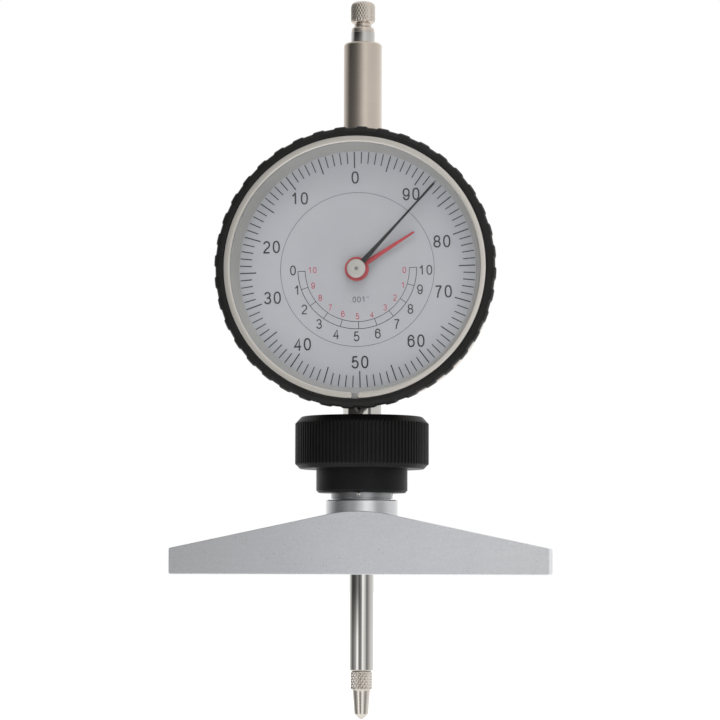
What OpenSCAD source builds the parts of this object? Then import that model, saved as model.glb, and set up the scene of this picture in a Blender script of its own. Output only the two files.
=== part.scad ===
// Dial depth gauge: measuring bridge, clamp nut, dial head with rack and gear movement.
// Frame: origin at the centre of the measuring face, Z up along the spindle, dial faces -Y.
// All lengths in millimetres. Drawn with the spindle fully extended.

/* [Bridge] */
// Length of the measuring bridge
bridge_l = 79; // [70:1:100]
// Depth of the measuring bridge, front to back
bridge_d = 16; // [15.4:0.2:20]
// Height of the bridge at its two ends
bridge_end_h = 5.4; // [4.6:0.2:6]
// Height of the bridge at its arched middle
bridge_mid_h = 13.1; // [12.7:0.1:13.3]

/* [Clamp] */
// Outside diameter of the ribbed part of the clamp nut
nut_d = 28; // [26:0.5:30]
// Outside diameter of the plain hub of the clamp nut
hub_d = 19.1; // [17.5:0.5:22]
// Number of ribs on the clamp nut
nut_ribs = 101; // [60:1:101]

/* [Head] */
// Diameter of both stems
stem_d = 8; // [7.9:0.1:8.1]
// Height of the dial centre above the measuring face
dial_z = 63; // [62.9:0.1:66]
// Top of the upper stem
stem_top = 112; // [111:0.2:115]
// Outside diameter of the bezel over its lobes
bezel_d = 58.2; // [58:0.1:58.4]
// Number of lobes on the bezel
bezel_lobes = 40; // [30:2:48]
// Outside diameter of the case
case_d = 54; // [53.9:0.1:54.1]

/* [Spindle] */
// Diameter of the spindle
spindle_d = 5; // [4.98:0.01:5.02]
// Stroke of the spindle
stroke = 30.5; // [28:0.5:30.5]
// Lowest point of the contact tip when fully extended
tip_z = -30.1; // [-31:0.1:-29.5]

/* [Dial] */
// Number of graduations
ticks = 100; // [50:50:100]
// Outer radius of the graduations
tick_r = 24.5; // [23:0.1:25]
// Main hand position, degrees clockwise from the top
hand_angle = 42.4; // [-180:0.2:180]
// Counter hand position, degrees clockwise from the top
counter_angle = 57.4; // [-180:0.2:180]
// Turn of the bezel and dial, degrees counter-clockwise
dial_turn = 1.6; // [0:0.1:3]

/* [Hidden] */
$fn = 96;
sr = spindle_d / 2;             // spindle radius
str = stem_d / 2;               // stem radius
cr = case_d / 2;                // case radius
br = bezel_d / 2;               // bezel radius

// rack and pinion: 12 teeth, 1.27 mm pitch
pz = 12;
pitch = 1.27;
mr = pitch / PI;
pr = pz * mr / 2;               // pinion pitch radius
rack_tip = 2.1;                 // flat of the rack from the spindle axis
rack_line = rack_tip - 0.75 * mr;
ax = -(rack_line + pr);         // arbor of the rack pinion
// first step up: 72 teeth drive 12
m1 = 0.25;
c1 = 42 * m1;
az = dial_z - sqrt(c1 * c1 - ax * ax);
dir_a = atan2(az - dial_z, ax);
// take-up wheel on the far side of the centre pinion
dx = -ax;
dz = 2 * dial_z - az;
dir_d = dir_a + 180;
// counter train: 12 to 48 and 12 to 60
m2 = 0.24;
m3 = 0.2;
c2 = 30 * m2;
dir_c = -20;
cx = c2 * cos(dir_c);
cz = dial_z + c2 * sin(dir_c);

// layers of the movement along y
rp0 = -4.4; rp1 = -3.2;         // rear plate
fp0 = -8.6; fp1 = -7.6;         // front plate
dial_f = -10.05;                // front face of the dial plate
dial_b = -9.55;

guide_z = 46;                   // guide pin height, spindle extended
col0 = 59.2; col1 = 61;         // spring collar
spring_top = stem_top - 5.3;    // underside of the upper bush
bosses = [40, 140, 220, 320];   // directions of the case bosses
boss_r = 22.8;
pillars = [25, 165, 300];       // directions of the plate pillars
pillar_r = 20;

module ycyl(r, y0, y1) translate([0, y1, 0]) rotate([90, 0, 0]) cylinder(r = r, h = y1 - y0);
module ycone(ra, rb, y0, y1) translate([0, y0, 0]) rotate([-90, 0, 0]) cylinder(r1 = ra, r2 = rb, h = y1 - y0);
module yext(y0, y1) translate([0, y1, 0]) rotate([90, 0, 0]) linear_extrude(height = y1 - y0) children();
module yrev() rotate([90, 0, 0]) rotate_extrude() children();      // drawn in [r, -y]
module at(x, z) translate([x, 0, z]) children();
module dial_at() translate([0, 0, dial_z]) children();
module around(list, r) for (a = list) translate([r * cos(a), 0, dial_z + r * sin(a)]) children();

function inv(a) = tan(a) - a * PI / 180;
// half angle of a tooth at radius p
function half(n, r, rb, thin, p) =
    90 / n - thin / (2 * r) * 180 / PI + (inv(25) - inv(acos(min(1, rb / p)))) * 180 / PI;
module gear2d(n, m, thin) {
    r = n * m / 2;
    rb = r * cos(25);
    ra = r + 0.75 * m;
    rr = r - 0.95 * m;
    rs = max(rb, rr + 0.001);
    rad = [rr, rs + (r - rs) * 0.35, r, ra];
    polygon([for (i = [0 : n - 1], k = [0 : 7])
        let (j = k < 4 ? k : 7 - k, s = k < 4 ? -1 : 1, p = rad[j],
             h = half(n, r, rb, thin, max(p, rs)), a = i * 360 / n + s * h)
        [p * cos(a), p * sin(a)]]);
}
// turn of a gear that meshes with another gear at rest; dir is the direction to it
function mesh(dir, n1, n2, rot1 = 0) = dir + 180 - (360 / n2) * (0.5 - (dir - rot1) * n1 / 360);

module wheel(n, m, thin, rot, y0, y1, bore, holes, hr, hd) {
    difference() {
        yext(y0, y1) rotate(rot) gear2d(n, m, thin);
        ycyl(bore, y0 - 1, y1 + 1);
        for (i = [0 : holes - 1]) rotate([0, i * 360 / holes, 0]) translate([hd, 0, 0]) ycyl(hr, y0 - 1, y1 + 1);
    }
}

// ---------------------------------------------------------------- bridge and clamp

module bridge() color([0.68, 0.69, 0.7]) {
    h = bridge_mid_h;
    a = 12.8;
    rise = (h - bridge_end_h);
    arc_r = 30;
    xt = arc_r * sin(a);
    zt = h - arc_r * (1 - cos(a));
    zs = zt - (bridge_l / 2 - xt) * tan(a);
    difference() {
        union() {
            translate([0, bridge_d / 2, 0]) rotate([90, 0, 0]) linear_extrude(height = bridge_d)
                polygon([[-bridge_l / 2, 0], [bridge_l / 2, 0], [bridge_l / 2, bridge_end_h],
                         [xt, zt], [-xt, zt], [-bridge_l / 2, bridge_end_h]]);
            intersection() {
                translate([0, bridge_d / 2, h - arc_r]) rotate([90, 0, 0]) cylinder(r = arc_r, h = bridge_d, $fn = 180);
                translate([-xt, -bridge_d / 2, zt - 1]) cube([2 * xt, bridge_d, 3]);
            }
        }
        translate([0, 0, 4]) cylinder(r = 6, h = 12);
        translate([0, 0, -1]) cylinder(r = 3.2, h = 12);
        translate([0, 0, 12]) cylinder(r = 7.55, h = 5);
        // broken edges of the measuring face and of the ends
        for (s = [-1, 1]) {
            translate([0, s * bridge_d / 2, 0]) rotate([45, 0, 0]) cube([bridge_l + 2, 0.45, 0.45], center = true);
            translate([s * bridge_l / 2, 0, 0]) rotate([0, 45, 0]) cube([0.45, bridge_d + 2, 0.45], center = true);
            for (t = [-1, 1]) translate([s * bridge_l / 2, t * bridge_d / 2, 3]) rotate([0, 0, 45]) cube([0.5, 0.5, 20], center = true);
        }
    }
}

module collet_sleeve() color([0.75, 0.75, 0.76]) difference() {
    rotate_extrude() polygon([[3.2, 4], [6, 4], [6, 12], [7.55, 12], [7.55, 15.3], [7.35, 15.5],
        [6.1, 15.5], [6.1, 15.8], [6.45, 15.8], [6.45, 25.8], [6.15, 26.1], [5.1, 30.6],
        [str + 0.02, 30.6], [str + 0.02, 14.6], [3.2, 14.6]]);
    for (i = [0 : 3]) rotate([0, 0, 90 * i]) translate([3.4, -0.35, 16.4]) cube([5, 0.7, 20]);
}

module clamp_ring() color([0.78, 0.66, 0.4]) rotate_extrude()
    polygon([[6.28, 26.7], [6.45, 26.7], [6.45, 31.1], [5.12, 31.1], [5.12, 30.95], [6.13, 26.7]]);

module clamp_nut() color([0.12, 0.12, 0.12]) {
    ro = nut_d / 2;
    ri = ro - 0.28;
    rh = hub_d / 2;
    difference() {
        union() {
            // ribs with V grooves between them
            translate([0, 0, 23.1]) linear_extrude(height = 8.7) rotate(-0.45)
                polygon([for (i = [0 : nut_ribs - 1], k = [0 : 2])
                    let (a = (i + [0, 0.5, 0.75][k]) * 360 / nut_ribs, r = k < 2 ? ro : ri)
                    [r * cos(a), r * sin(a)]]);
            rotate_extrude() polygon([[0, 22], [ro - 1.05, 22], [ri - 0.04, 23.1], [ri - 0.04, 31.8], [ro - 1.05, 32.9], [0, 32.9]]);
            rotate_extrude() polygon([[0, 17], [rh - 0.5, 17], [rh, 17.5], [rh, 22.5], [0, 22.5]]);
        }
        translate([0, 0, 16]) cylinder(r = 6.55, h = 15.2);
        translate([0, 0, 16]) cylinder(r = 4.6, h = 18);
        translate([0, 0, 32.5]) cylinder(r1 = 4.6, r2 = 5.2, h = 0.6);
        // assembly mark on the lower rim
        translate([-0.5, -rh - 1, 16.5]) cube([1, 1.4, 0.8]);
    }
}

// ---------------------------------------------------------------- case and stems

module case_ring() color([0.72, 0.7, 0.66]) difference() {
    union() {
        dial_at() difference() {
            union() {
                ycyl(cr, -6.4, 8);
                ycyl(cr - 0.6, -8.75, -6.4);
            }
            ycyl(24.8, -9, 9);
            // groove for the bezel wire
            difference() { ycyl(cr, -8, -7.3); ycyl(25.95, -8.5, -7); }
        }
        // bosses for the movement and the back cover
        intersection() {
            around(bosses, boss_r) ycyl(2.5, rp1, 6.8);
            dial_at() ycyl(25.5, rp1, 8);
        }
        // pads round the two stems
        intersection() {
            dial_at() difference() { ycyl(25.5, -3, 6); ycyl(22.8, -5, 7); }
            translate([-6, -3, dial_z - 30]) cube([12, 8, 60]);
        }
    }
    translate([0, 0, dial_z - 30]) cylinder(r = str, h = 60);
    around(bosses, boss_r) { ycyl(0.8, rp1 - 1, 1.5); ycyl(0.8, 3, 9); }
    // groove for the seal of the back cover
    dial_at() difference() { ycyl(26, 7.4, 9); ycyl(24.7, 7, 10); }
}

module back_cover() color([0.72, 0.7, 0.66]) difference() {
    dial_at() union() {
        ycyl(cr - 0.5, 8, 9.2);
        ycone(cr, cr - 0.5, 8, 8.5);
        ycyl(24.5, 6.8, 8);
    }
    around(bosses, boss_r) { ycyl(1.1, 6, 10); ycyl(2, 8.3, 10); }
}

module cover_seal() color([0.1, 0.1, 0.1]) dial_at() difference() {
    ycyl(25.9, 7.42, 8);
    ycyl(24.85, 7, 9);
}

module slot_screw(r, hr, hh, len) {
    difference() {
        union() {
            ycyl(hr, 0, hh);
            ycyl(r, -len, 0.01);
        }
        translate([0, hh, 0]) cube([2 * hr + 1, 0.7, 0.45], center = true);
    }
}
module cover_screws() color([0.3, 0.3, 0.32])
    for (i = [0 : 3]) around([bosses[i]], boss_r) rotate([0, 25 + 40 * i, 0]) translate([0, 8.32, 0]) slot_screw(0.8, 1.8, 0.85, 4.8);

module lower_stem() color([0.8, 0.79, 0.77]) rotate_extrude()
    polygon([[3.3, 15], [str - 0.3, 15], [str, 15.3], [str, dial_z - 23.2], [2.75, dial_z - 23.2], [2.75, 18.4], [3.3, 18.4]]);

module upper_stem() color([0.8, 0.77, 0.72]) rotate_extrude()
    polygon(concat([[3.25, dial_z + 23.2], [str, dial_z + 23.2], [str, dial_z + 27.3], [str - 0.3, dial_z + 27.5],
            [str - 0.3, dial_z + 29], [str, dial_z + 29.2], [str, stem_top - 1]],
        [for (i = [1 : 6]) [str - 1 + cos(i * 15), stem_top - 1 + sin(i * 15)]],
        [[2.6, stem_top], [2.6, stem_top - 1], [3.25, stem_top - 1]]));

module lower_bush() color([0.8, 0.65, 0.35]) translate([0, 0, 15]) difference() {
    cylinder(r = 3.3, h = 3.4);
    translate([0, 0, -1]) cylinder(r = sr + 0.02, h = 6);
}
module upper_bush() color([0.8, 0.65, 0.35]) translate([0, 0, spring_top]) difference() {
    cylinder(r = 3.25, h = 4.3);
    translate([0, 0, -1]) cylinder(r = sr + 0.02, h = 7);
}

// ---------------------------------------------------------------- movement

module rear_plate() color([0.8, 0.68, 0.42]) difference() {
    dial_at() ycyl(24.6, rp0, rp1);
    // notches for the inner ends of the stems
    for (t = [-1, 1]) translate([-4.8, -6, dial_z + t * 26.6 - 4]) cube([9.6, 4, 8]);
    around(bosses, boss_r) ycyl(1, rp0 - 1, rp1 + 1);
    at(ax, az) ycyl(1.1, rp0 - 1, rp1 + 1);
    dial_at() ycyl(0.9, rp0 - 1, rp1 + 1);
    at(cx, cz) ycyl(0.9, rp0 - 1, rp1 + 1);
    at(dx, dz) ycyl(0.9, rp0 - 1, rp1 + 1);
    around(pillars, pillar_r) ycyl(0.8, rp0 - 1, rp1 + 1);
    for (z = [43.6, 79]) at(6.6, z) ycyl(0.6, rp0 - 1, rp1 + 1);
    for (s = [-1, 1]) at(-10, az + s * 5) ycyl(0.6, rp0 - 1, rp1 + 1);
    // windows
    at(-13.6, 71.4) ycyl(3.5, rp0 - 1, rp1 + 1);
    at(14.5, 57) ycyl(3, rp0 - 1, rp1 + 1);
}

module front_plate() color([0.8, 0.68, 0.42]) difference() {
    dial_at() ycyl(23.2, fp0, fp1);
    around(pillars, pillar_r) ycyl(1, fp0 - 1, fp1 + 1);
    at(ax, az) ycyl(0.9, fp0 - 1, fp1 + 1);
    at(cx, cz) ycyl(0.9, fp0 - 1, fp1 + 1);
    at(dx, dz) ycyl(0.9, fp0 - 1, fp1 + 1);
    dial_at() ycyl(1.5, fp0 - 1, fp1 + 1);
    at(dx + 5.2, dz) ycyl(0.45, fp0 - 1, fp1 + 1);
    // windows
    at(-12.5, 70.6) ycyl(4, fp0 - 1, fp1 + 1);
    at(14.5, 57) ycyl(3, fp0 - 1, fp1 + 1);
    around(bosses, boss_r) ycyl(2.2, fp0 - 1, fp1 + 1);
}

module plate_pillars() color([0.8, 0.68, 0.42]) around(pillars, pillar_r) difference() {
    ycyl(1.6, fp1, rp0);
    ycyl(0.6, fp1 - 1, fp1 + 1.3);
    ycyl(0.6, rp0 - 1.3, rp0 + 1);
}

module plate_screws() color([0.35, 0.4, 0.55]) {
    // front plate to the pillars
    around(pillars, pillar_r) translate([0, fp0, 0]) rotate([0, 30, 0]) difference() {
        union() { ycyl(1.3, -0.6, 0); ycyl(0.58, -0.1, fp1 - fp0 + 1.2); }
        translate([0, -0.6, 0]) cube([4, 0.5, 0.35], center = true);
    }
    // rear plate to the pillars
    around(pillars, pillar_r) translate([0, rp1, 0]) rotate([0, 70, 0]) difference() {
        union() { ycyl(1.3, 0, 0.6); ycyl(0.58, -(rp1 - rp0) - 1.2, 0.1); }
        translate([0, 0.6, 0]) cube([4, 0.5, 0.35], center = true);
    }
    // plate ears to the case bosses
    around(bosses, boss_r) translate([0, rp0, 0]) rotate([0, 110, 0]) difference() {
        union() { ycyl(1.6, -0.8, 0); ycyl(0.79, -0.1, 4.6); }
        translate([0, -0.8, 0]) cube([5, 0.6, 0.4], center = true);
    }
}

// bridge piece behind the spindle that carries the rear pivot of the rack pinion
module arbor_cock() color([0.8, 0.68, 0.42]) difference() {
    union() {
        yext(3, 4) polygon([[-11.6, az - 6.6], [-8.4, az - 6.6], [-8.4, az - 3.2], [ax + 1.7, az - 1.7], [ax + 1.7, az + 1.7],
            [-8.4, az + 3.2], [-8.4, az + 6.6], [-11.6, az + 6.6]]);
        for (s = [-1, 1]) at(-10, az + s * 5) ycyl(1.5, rp1, 3.2);
    }
    at(ax, az) ycyl(0.9, 2, 5);
    for (s = [-1, 1]) at(-10, az + s * 5) ycyl(0.6, -5, 5);
}
module cock_screws() color([0.35, 0.4, 0.55]) for (s = [-1, 1]) at(-10, az + s * 5)
    translate([0, 4, 0]) rotate([0, 40, 0]) difference() {
        union() { ycyl(1.2, 0, 0.6); ycyl(0.58, -8.2, 0.1); }
        translate([0, 0.6, 0]) cube([4, 0.5, 0.35], center = true);
    }

module bush(ro, ri, y0, y1) difference() { ycyl(ro, y0, y1); ycyl(ri, y0 - 1, y1 + 1); }
module plate_bushes() color([0.75, 0.25, 0.3]) {
    at(ax, az) { bush(1.1, 0.63, rp0, rp1); bush(0.9, 0.43, fp0, fp1); bush(0.9, 0.43, 3, 4); }
    dial_at() bush(0.9, 0.43, rp0, rp1);
    at(cx, cz) { bush(0.9, 0.43, rp0, rp1); bush(0.9, 0.43, fp0, fp1); }
    at(dx, dz) { bush(0.9, 0.43, rp0, rp1); bush(0.9, 0.43, fp0, fp1); }
    dial_at() bush(1.5, 0.93, fp0, fp1);
}

module guide_rail() color([0.7, 0.7, 0.72]) difference() {
    translate([5.2, rp1, 42.4]) cube([2.8, 5.8, 38.2]);
    translate([4, -0.9, guide_z - 0.95]) cube([6, 1.8, stroke + 1.9]);
    for (z = [43.6, 79]) at(6.6, z) ycyl(0.55, -4, -1.2);
}
module rail_screws() color([0.35, 0.4, 0.55]) for (z = [43.6, 79]) at(6.6, z) translate([0, rp0, 0]) rotate([0, 20, 0]) difference() {
    union() { ycyl(1.1, -0.35, 0); ycyl(0.54, -0.1, 3); }
    translate([0, -0.35, 0]) cube([4, 0.3, 0.3], center = true);
}

// flat spiral on the take-up arbor
module hairspring() color([0.3, 0.4, 0.7]) at(dx, dz) yext(-7.2, -6.7) {
    n = 20; t = 3; r0 = 1.1; r1 = 3.7; w = 0.07;
    polygon(concat(
        [for (i = [0 : n * t]) let (a = i * 360 / n, r = r0 + (r1 - r0) * i / (n * t) + w) [r * cos(a), r * sin(a)]],
        [[4.74, 0], [4.74, 0.14], [r1 - w, 0.14]],
        [for (i = [n * t : -1 : 0]) let (a = i * 360 / n, r = r0 + (r1 - r0) * i / (n * t) - w) [r * cos(a), r * sin(a)]]));
}
module hairspring_stud() color([0.8, 0.68, 0.42]) at(dx + 5.2, dz) ycyl(0.45, fp0, -6.6);

module bezel_wire() color([0.6, 0.6, 0.62]) dial_at() difference() {
    rotate([90, 0, 0]) rotate_extrude() translate([26.45, 7.65]) circle(r = 0.3, $fn = 24);
    translate([0, -7.65, 28]) cube([1.6, 3, 8], center = true);
}

module return_spring() color([0.6, 0.6, 0.62]) translate([0, 0, col1 + 0.02]) {
    h = spring_top - col1 - 0.04;
    turns = 24;
    p = h / turns;
    w = 0.2;
    linear_extrude(height = h, twist = -360 * turns, slices = turns * 16, convexity = 8, $fn = 5)
        polygon([for (i = [0 : 7]) let (f = i * 45, r = 2.82 + w * cos(f), a = w * sin(f) * 360 / p) [r * cos(a), r * sin(a)]]);
}

// ---------------------------------------------------------------- bezel, crystal and dial

module bezel() color([0.13, 0.13, 0.13]) dial_at() rotate([0, -dial_turn, 0]) difference() {
    yrev() polygon([[26.55, 6.6], [br - 1.4, 6.6], [br - 0.8, 7.2], [br - 0.45, 9], [br, 13.6], [br, 15.2], [br - 0.3, 15.9],
        [br - 1.2, 16.4], [27.28, 16.4], [27.13, 16.2], [27.13, 9.55], [24.9, 9.55], [24.9, 8.95], [26.55, 8.95], [26.55, 8.2],
        [26.9, 8.2], [26.9, 7.1], [26.55, 7.1]]);
    for (i = [0 : bezel_lobes - 1]) rotate([0, i * 360 / bezel_lobes, 0]) translate([br + 3.3, 0, 0]) ycyl(3.55, -17, -5, $fn = 48);
}

module retaining_ring() color([0.8, 0.77, 0.72]) dial_at() rotate([0, -dial_turn, 0]) difference() {
    yrev() polygon([[25.83, 15.4], [27.08, 15.4], [27.08, 16.1], [26.18, 16.1], [25.83, 15.85]]);
    rotate([0, dial_turn - 0.4, 0]) translate([0, -15, -27]) cube([1.3, 3, 4], center = true);
}

module crystal() color([0.85, 0.9, 0.95, 0.3]) dial_at() ycyl(27.08, -15.4, -14.4);

module spacer_ring() color([0.6, 0.61, 0.62]) dial_at() yrev()
    polygon([[24.65, 10.05], [27.08, 10.05], [27.08, 14.4], [25.88, 14.4]]);

module dial_plate() color([0.75, 0.76, 0.77]) dial_at() rotate([0, -dial_turn, 0]) {
    difference() {
        ycyl(27.08, dial_f, dial_b);
        ycyl(1.9, -12, -8);
    }
    for (i = [0 : ticks - 1]) rotate([0, i * 360 / ticks, 0]) {
        l = i % 5 == 0 ? 3.4 : 2.45;
        translate([-0.11, dial_f - 0.04, tick_r - l]) cube([0.22, 0.05, l]);
    }
    difference() { ycyl(16.05, dial_f - 0.03, dial_f + 0.01); ycyl(15.93, -12, -8); }
}

// ---------------------------------------------------------------- spindle

module spindle() color([0.75, 0.75, 0.76]) difference() {
    rotate_extrude() polygon([[0, -20.1], [2.1, -20.1], [sr, -19.8], [sr, 114.3], [0, 114.3]]);
    // rack
    n = ceil((stroke + 7) / pitch);
    z0 = az + 3.5 * pitch;
    t = pitch / 4 - 0.03;
    tip = t - 0.75 * mr * tan(25);
    root = t + 0.95 * mr * tan(25);
    xr = -(rack_line - 0.95 * mr);
    translate([0, 3, 0]) rotate([90, 0, 0]) linear_extrude(height = 6) polygon(concat([[-3, z0 - tip]],
        [for (i = [0 : n], k = [0 : 3]) let (zc = z0 - i * pitch)
            [k == 0 || k == 3 ? -rack_tip : xr, k == 0 ? zc - tip : k == 1 ? zc - root : k == 2 ? zc - pitch + root : zc - pitch + tip]],
        [[-3, z0 - (n + 1) * pitch + tip]]));
    // threads for the contact point and the cap, hole for the guide pin
    translate([0, 0, -21]) cylinder(r = 1.25, h = 7);
    translate([0, 0, 110.9]) cylinder(r = 1.25, h = 6);
    translate([0.2, 0, guide_z]) rotate([0, 90, 0]) cylinder(r = 0.6, h = 4);
}

module lifting_cap() color([0.8, 0.76, 0.7]) {
    rotate_extrude() polygon([[0, 114.3], [2.38, 114.3], [2.44, 114.38], [2.41, 114.7], [2.38, 115.05], [2.25, 115.27], [2, 115.47],
        [1.82, 115.6], [1.8, 115.8], [1.8, 117], [0, 117]]);
    intersection() {
        translate([0, 0, 116]) linear_extrude(height = 5.1)
            polygon([for (i = [0 : 79]) let (r = i % 2 == 0 ? 2.57 : 2.46) [r * cos(i * 4.5), r * sin(i * 4.5)]]);
        rotate_extrude() polygon([[0, 116.1], [1.8, 116.1], [2.12, 116.32], [2.4, 116.55], [2.52, 116.9], [2.7, 117.2], [2.7, 119.7],
            [2.52, 120.1], [2.4, 120.35], [2.25, 120.55], [2, 120.73], [1.6, 120.88], [1.1, 120.98], [0, 121.05]]);
    }
    translate([0, 0, 111.3]) cylinder(r = 1.25, h = 4);
}

module contact_point() color([0.8, 0.76, 0.7]) {
    intersection() {
        translate([0, 0, -23.9]) linear_extrude(height = 3.8)
            polygon([for (i = [0 : 63]) let (r = i % 2 == 0 ? 2.28 : 2.16) [r * cos(i * 5.625), r * sin(i * 5.625)]]);
        rotate_extrude() polygon([[0, -23.9], [2.08, -23.9], [2.35, -23.7], [2.35, -20.35], [2.05, -20.1], [0, -20.1]]);
    }
    rotate_extrude() polygon([[0, -23.8], [1.98, -23.8], [1.9, -24.1], [1.83, -24.4], [1.5, tip_z + 1.53], [1.42, tip_z + 1.11],
        [1.03, tip_z + 0.7], [0.61, tip_z + 0.28], [0.3, tip_z + 0.08], [0, tip_z]]);
    translate([0, 0, -21]) cylinder(r = 1.25, h = 6.4);
}

module guide_pin() color([0.5, 0.5, 0.52]) translate([0, 0, guide_z]) rotate([0, 90, 0]) {
    translate([0, 0, 0.4]) cylinder(r = 0.6, h = 4);
    translate([0, 0, sr + 0.15]) cylinder(r = 0.8, h = 8.3 - sr - 0.15);
}

module spring_collar() color([0.7, 0.7, 0.72]) translate([0, 0, col0]) difference() {
    cylinder(r = 3.05, h = col1 - col0);
    translate([0, 0, -1]) cylinder(r = sr, h = 5);
}

// ---------------------------------------------------------------- gear train and hands

module rack_pinion() color([0.7, 0.7, 0.72]) at(ax, az) {
    yext(-1, 1) gear2d(pz, mr, 0.06);
    ycyl(0.6, -7, 2.6);
    ycyl(0.4, fp0 + 0.1, 3.9);
}
module drive_wheel() color([0.82, 0.7, 0.4]) at(ax, az) {
    wheel(72, m1, 0.06, mesh(dir_a, 12, 72), -5.35, -4.85, 0.6, 5, 2, 5.2);
    bush(1.3, 0.6, -6, -5.35);
}
module centre_arbor() color([0.7, 0.7, 0.72]) dial_at() {
    yext(-5.6, -4.6) gear2d(12, m1, 0.06);
    yext(-6.6, -5.7) gear2d(12, m2, 0.06);
    ycyl(0.6, -6.62, -4.55);
    ycyl(0.4, -12.35, rp1 - 0.1);
}
module takeup_arbor() color([0.7, 0.7, 0.72]) at(dx, dz) {
    ycyl(0.6, -7.4, -4.55);
    ycyl(0.4, fp0 + 0.1, rp1 - 0.1);
    ycyl(0.95, -7.25, -6.65);
}
module takeup_wheel() color([0.82, 0.7, 0.4]) at(dx, dz) {
    wheel(72, m1, 0.06, mesh(dir_d, 12, 72), -5.35, -4.85, 0.6, 5, 2, 5.2);
    bush(1.3, 0.6, -6, -5.35);
}
module counter_arbor() color([0.7, 0.7, 0.72]) at(cx, cz) {
    yext(-7.45, -6.55) gear2d(12, m3, 0.05);
    ycyl(0.6, -6.6, -4.55);
    ycyl(0.4, fp0 + 0.1, rp1 - 0.1);
}
module counter_wheel() color([0.82, 0.7, 0.4]) at(cx, cz) {
    wheel(48, m2, 0.06, mesh(dir_c, 12, 48), -6.35, -5.9, 0.6, 4, 1.4, 3.3);
    bush(1.1, 0.6, -5.9, -5.45);
}
module counter_pipe() color([0.82, 0.7, 0.4]) dial_at() difference() {
    union() { ycyl(0.9, -11.15, -6.75); ycyl(1.3, -6.95, -6.75); }
    ycyl(0.43, -12, -6);
}
module counter_pipe_wheel() color([0.82, 0.7, 0.4]) dial_at()
    wheel(60, m3, 0.05, mesh(dir_c + 180, 12, 60), -7.35, -6.95, 0.9, 5, 1.3, 3.5);

module counter_hand() color([0.75, 0.2, 0.22]) dial_at() rotate([0, counter_angle, 0]) difference() {
    union() {
        ycyl(2.5, -11, -10.8);
        yext(-11, -10.8) polygon([[-0.52, 2], [0.52, 2], [0.2, 14.15], [-0.2, 14.15]]);
        ycyl(1.3, -11.05, -10.35);
    }
    ycyl(0.9, -12, -10);
}
module main_hand() color([0.1, 0.1, 0.1]) dial_at() rotate([0, hand_angle, 0]) difference() {
    union() {
        yext(-11.9, -11.72) polygon([[-0.62, 0.8], [0.62, 0.8], [0.5, 4], [0.38, 6.2], [0.25, 12.5], [0.18, 20], [0.23, 20.6],
            [0.23, 23.9], [-0.23, 23.9], [-0.23, 20.6], [-0.18, 20], [-0.25, 12.5], [-0.38, 6.2], [-0.5, 4]]);
        ycyl(1.7, -11.9, -11.72);
    }
    ycyl(0.8, -13, -11);
}
module hand_boss() color([0.85, 0.84, 0.82]) dial_at() difference() {
    yrev() polygon([[0.4, 11.4], [0.8, 11.4], [0.8, 11.9], [1.95, 11.9], [1.95, 12.05], [1.6, 12.3], [0.9, 12.45], [0.4, 12.45]]);
    ycyl(0.4, -14, -11);
}

bridge();
collet_sleeve();
clamp_ring();
clamp_nut();
case_ring();
back_cover();
cover_seal();
cover_screws();
lower_stem();
upper_stem();
lower_bush();
upper_bush();
rear_plate();
front_plate();
plate_pillars();
plate_screws();
arbor_cock();
cock_screws();
plate_bushes();
guide_rail();
rail_screws();
hairspring();
hairspring_stud();
bezel_wire();
return_spring();
bezel();
retaining_ring();
crystal();
spacer_ring();
dial_plate();
spindle();
lifting_cap();
contact_point();
guide_pin();
spring_collar();
rack_pinion();
drive_wheel();
centre_arbor();
takeup_arbor();
takeup_wheel();
counter_arbor();
counter_wheel();
counter_pipe();
counter_pipe_wheel();
counter_hand();
main_hand();
hand_boss();
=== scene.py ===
import math

import bmesh
import bpy
import numpy as np
from mathutils import Matrix, Vector


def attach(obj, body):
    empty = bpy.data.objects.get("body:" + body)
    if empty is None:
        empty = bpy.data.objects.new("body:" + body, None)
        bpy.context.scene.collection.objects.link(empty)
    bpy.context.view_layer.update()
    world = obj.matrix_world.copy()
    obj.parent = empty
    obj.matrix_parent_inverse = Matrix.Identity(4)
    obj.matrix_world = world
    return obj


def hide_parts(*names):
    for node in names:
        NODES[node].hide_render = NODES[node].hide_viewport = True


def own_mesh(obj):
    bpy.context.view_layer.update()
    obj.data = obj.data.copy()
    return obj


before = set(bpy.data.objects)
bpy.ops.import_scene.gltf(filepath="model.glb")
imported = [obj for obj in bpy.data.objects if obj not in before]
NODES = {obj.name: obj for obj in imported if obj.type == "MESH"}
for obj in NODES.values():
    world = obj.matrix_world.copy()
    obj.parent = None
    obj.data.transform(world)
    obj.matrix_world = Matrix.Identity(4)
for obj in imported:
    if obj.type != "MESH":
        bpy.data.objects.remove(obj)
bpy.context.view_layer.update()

SCENE = bpy.context.scene
MM = 0.001
DIAL_Z = 63.0                     # height of the dial's centre, mm
TURN = math.radians(1.6)          # turn of the bezel and dial, counter-clockwise
LOBES = 40


# ---------------------------------------------------------------- meshes, all drawn in millimetres

def to_object(name, mesh):
    obj = bpy.data.objects.new(name, mesh)
    SCENE.collection.objects.link(obj)
    return obj


def new_mesh(name, verts, faces, sharp=32.0, mats=None, index=None):
    mesh = bpy.data.meshes.new(name)
    v = np.asarray(verts, dtype=float) * MM
    mesh.from_pydata(v.tolist(), [], [list(map(int, f)) for f in faces])
    if index is not None:
        mesh.polygons.foreach_set("material_index", np.asarray(index, dtype=np.int32))
    bm = bmesh.new()
    bm.from_mesh(mesh)
    bmesh.ops.recalc_face_normals(bm, faces=bm.faces)
    bm.to_mesh(mesh)
    bm.free()
    finish_shading(mesh, sharp)
    obj = to_object(name, mesh)
    for m in mats or []:
        mesh.materials.append(m)
    return obj


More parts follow.
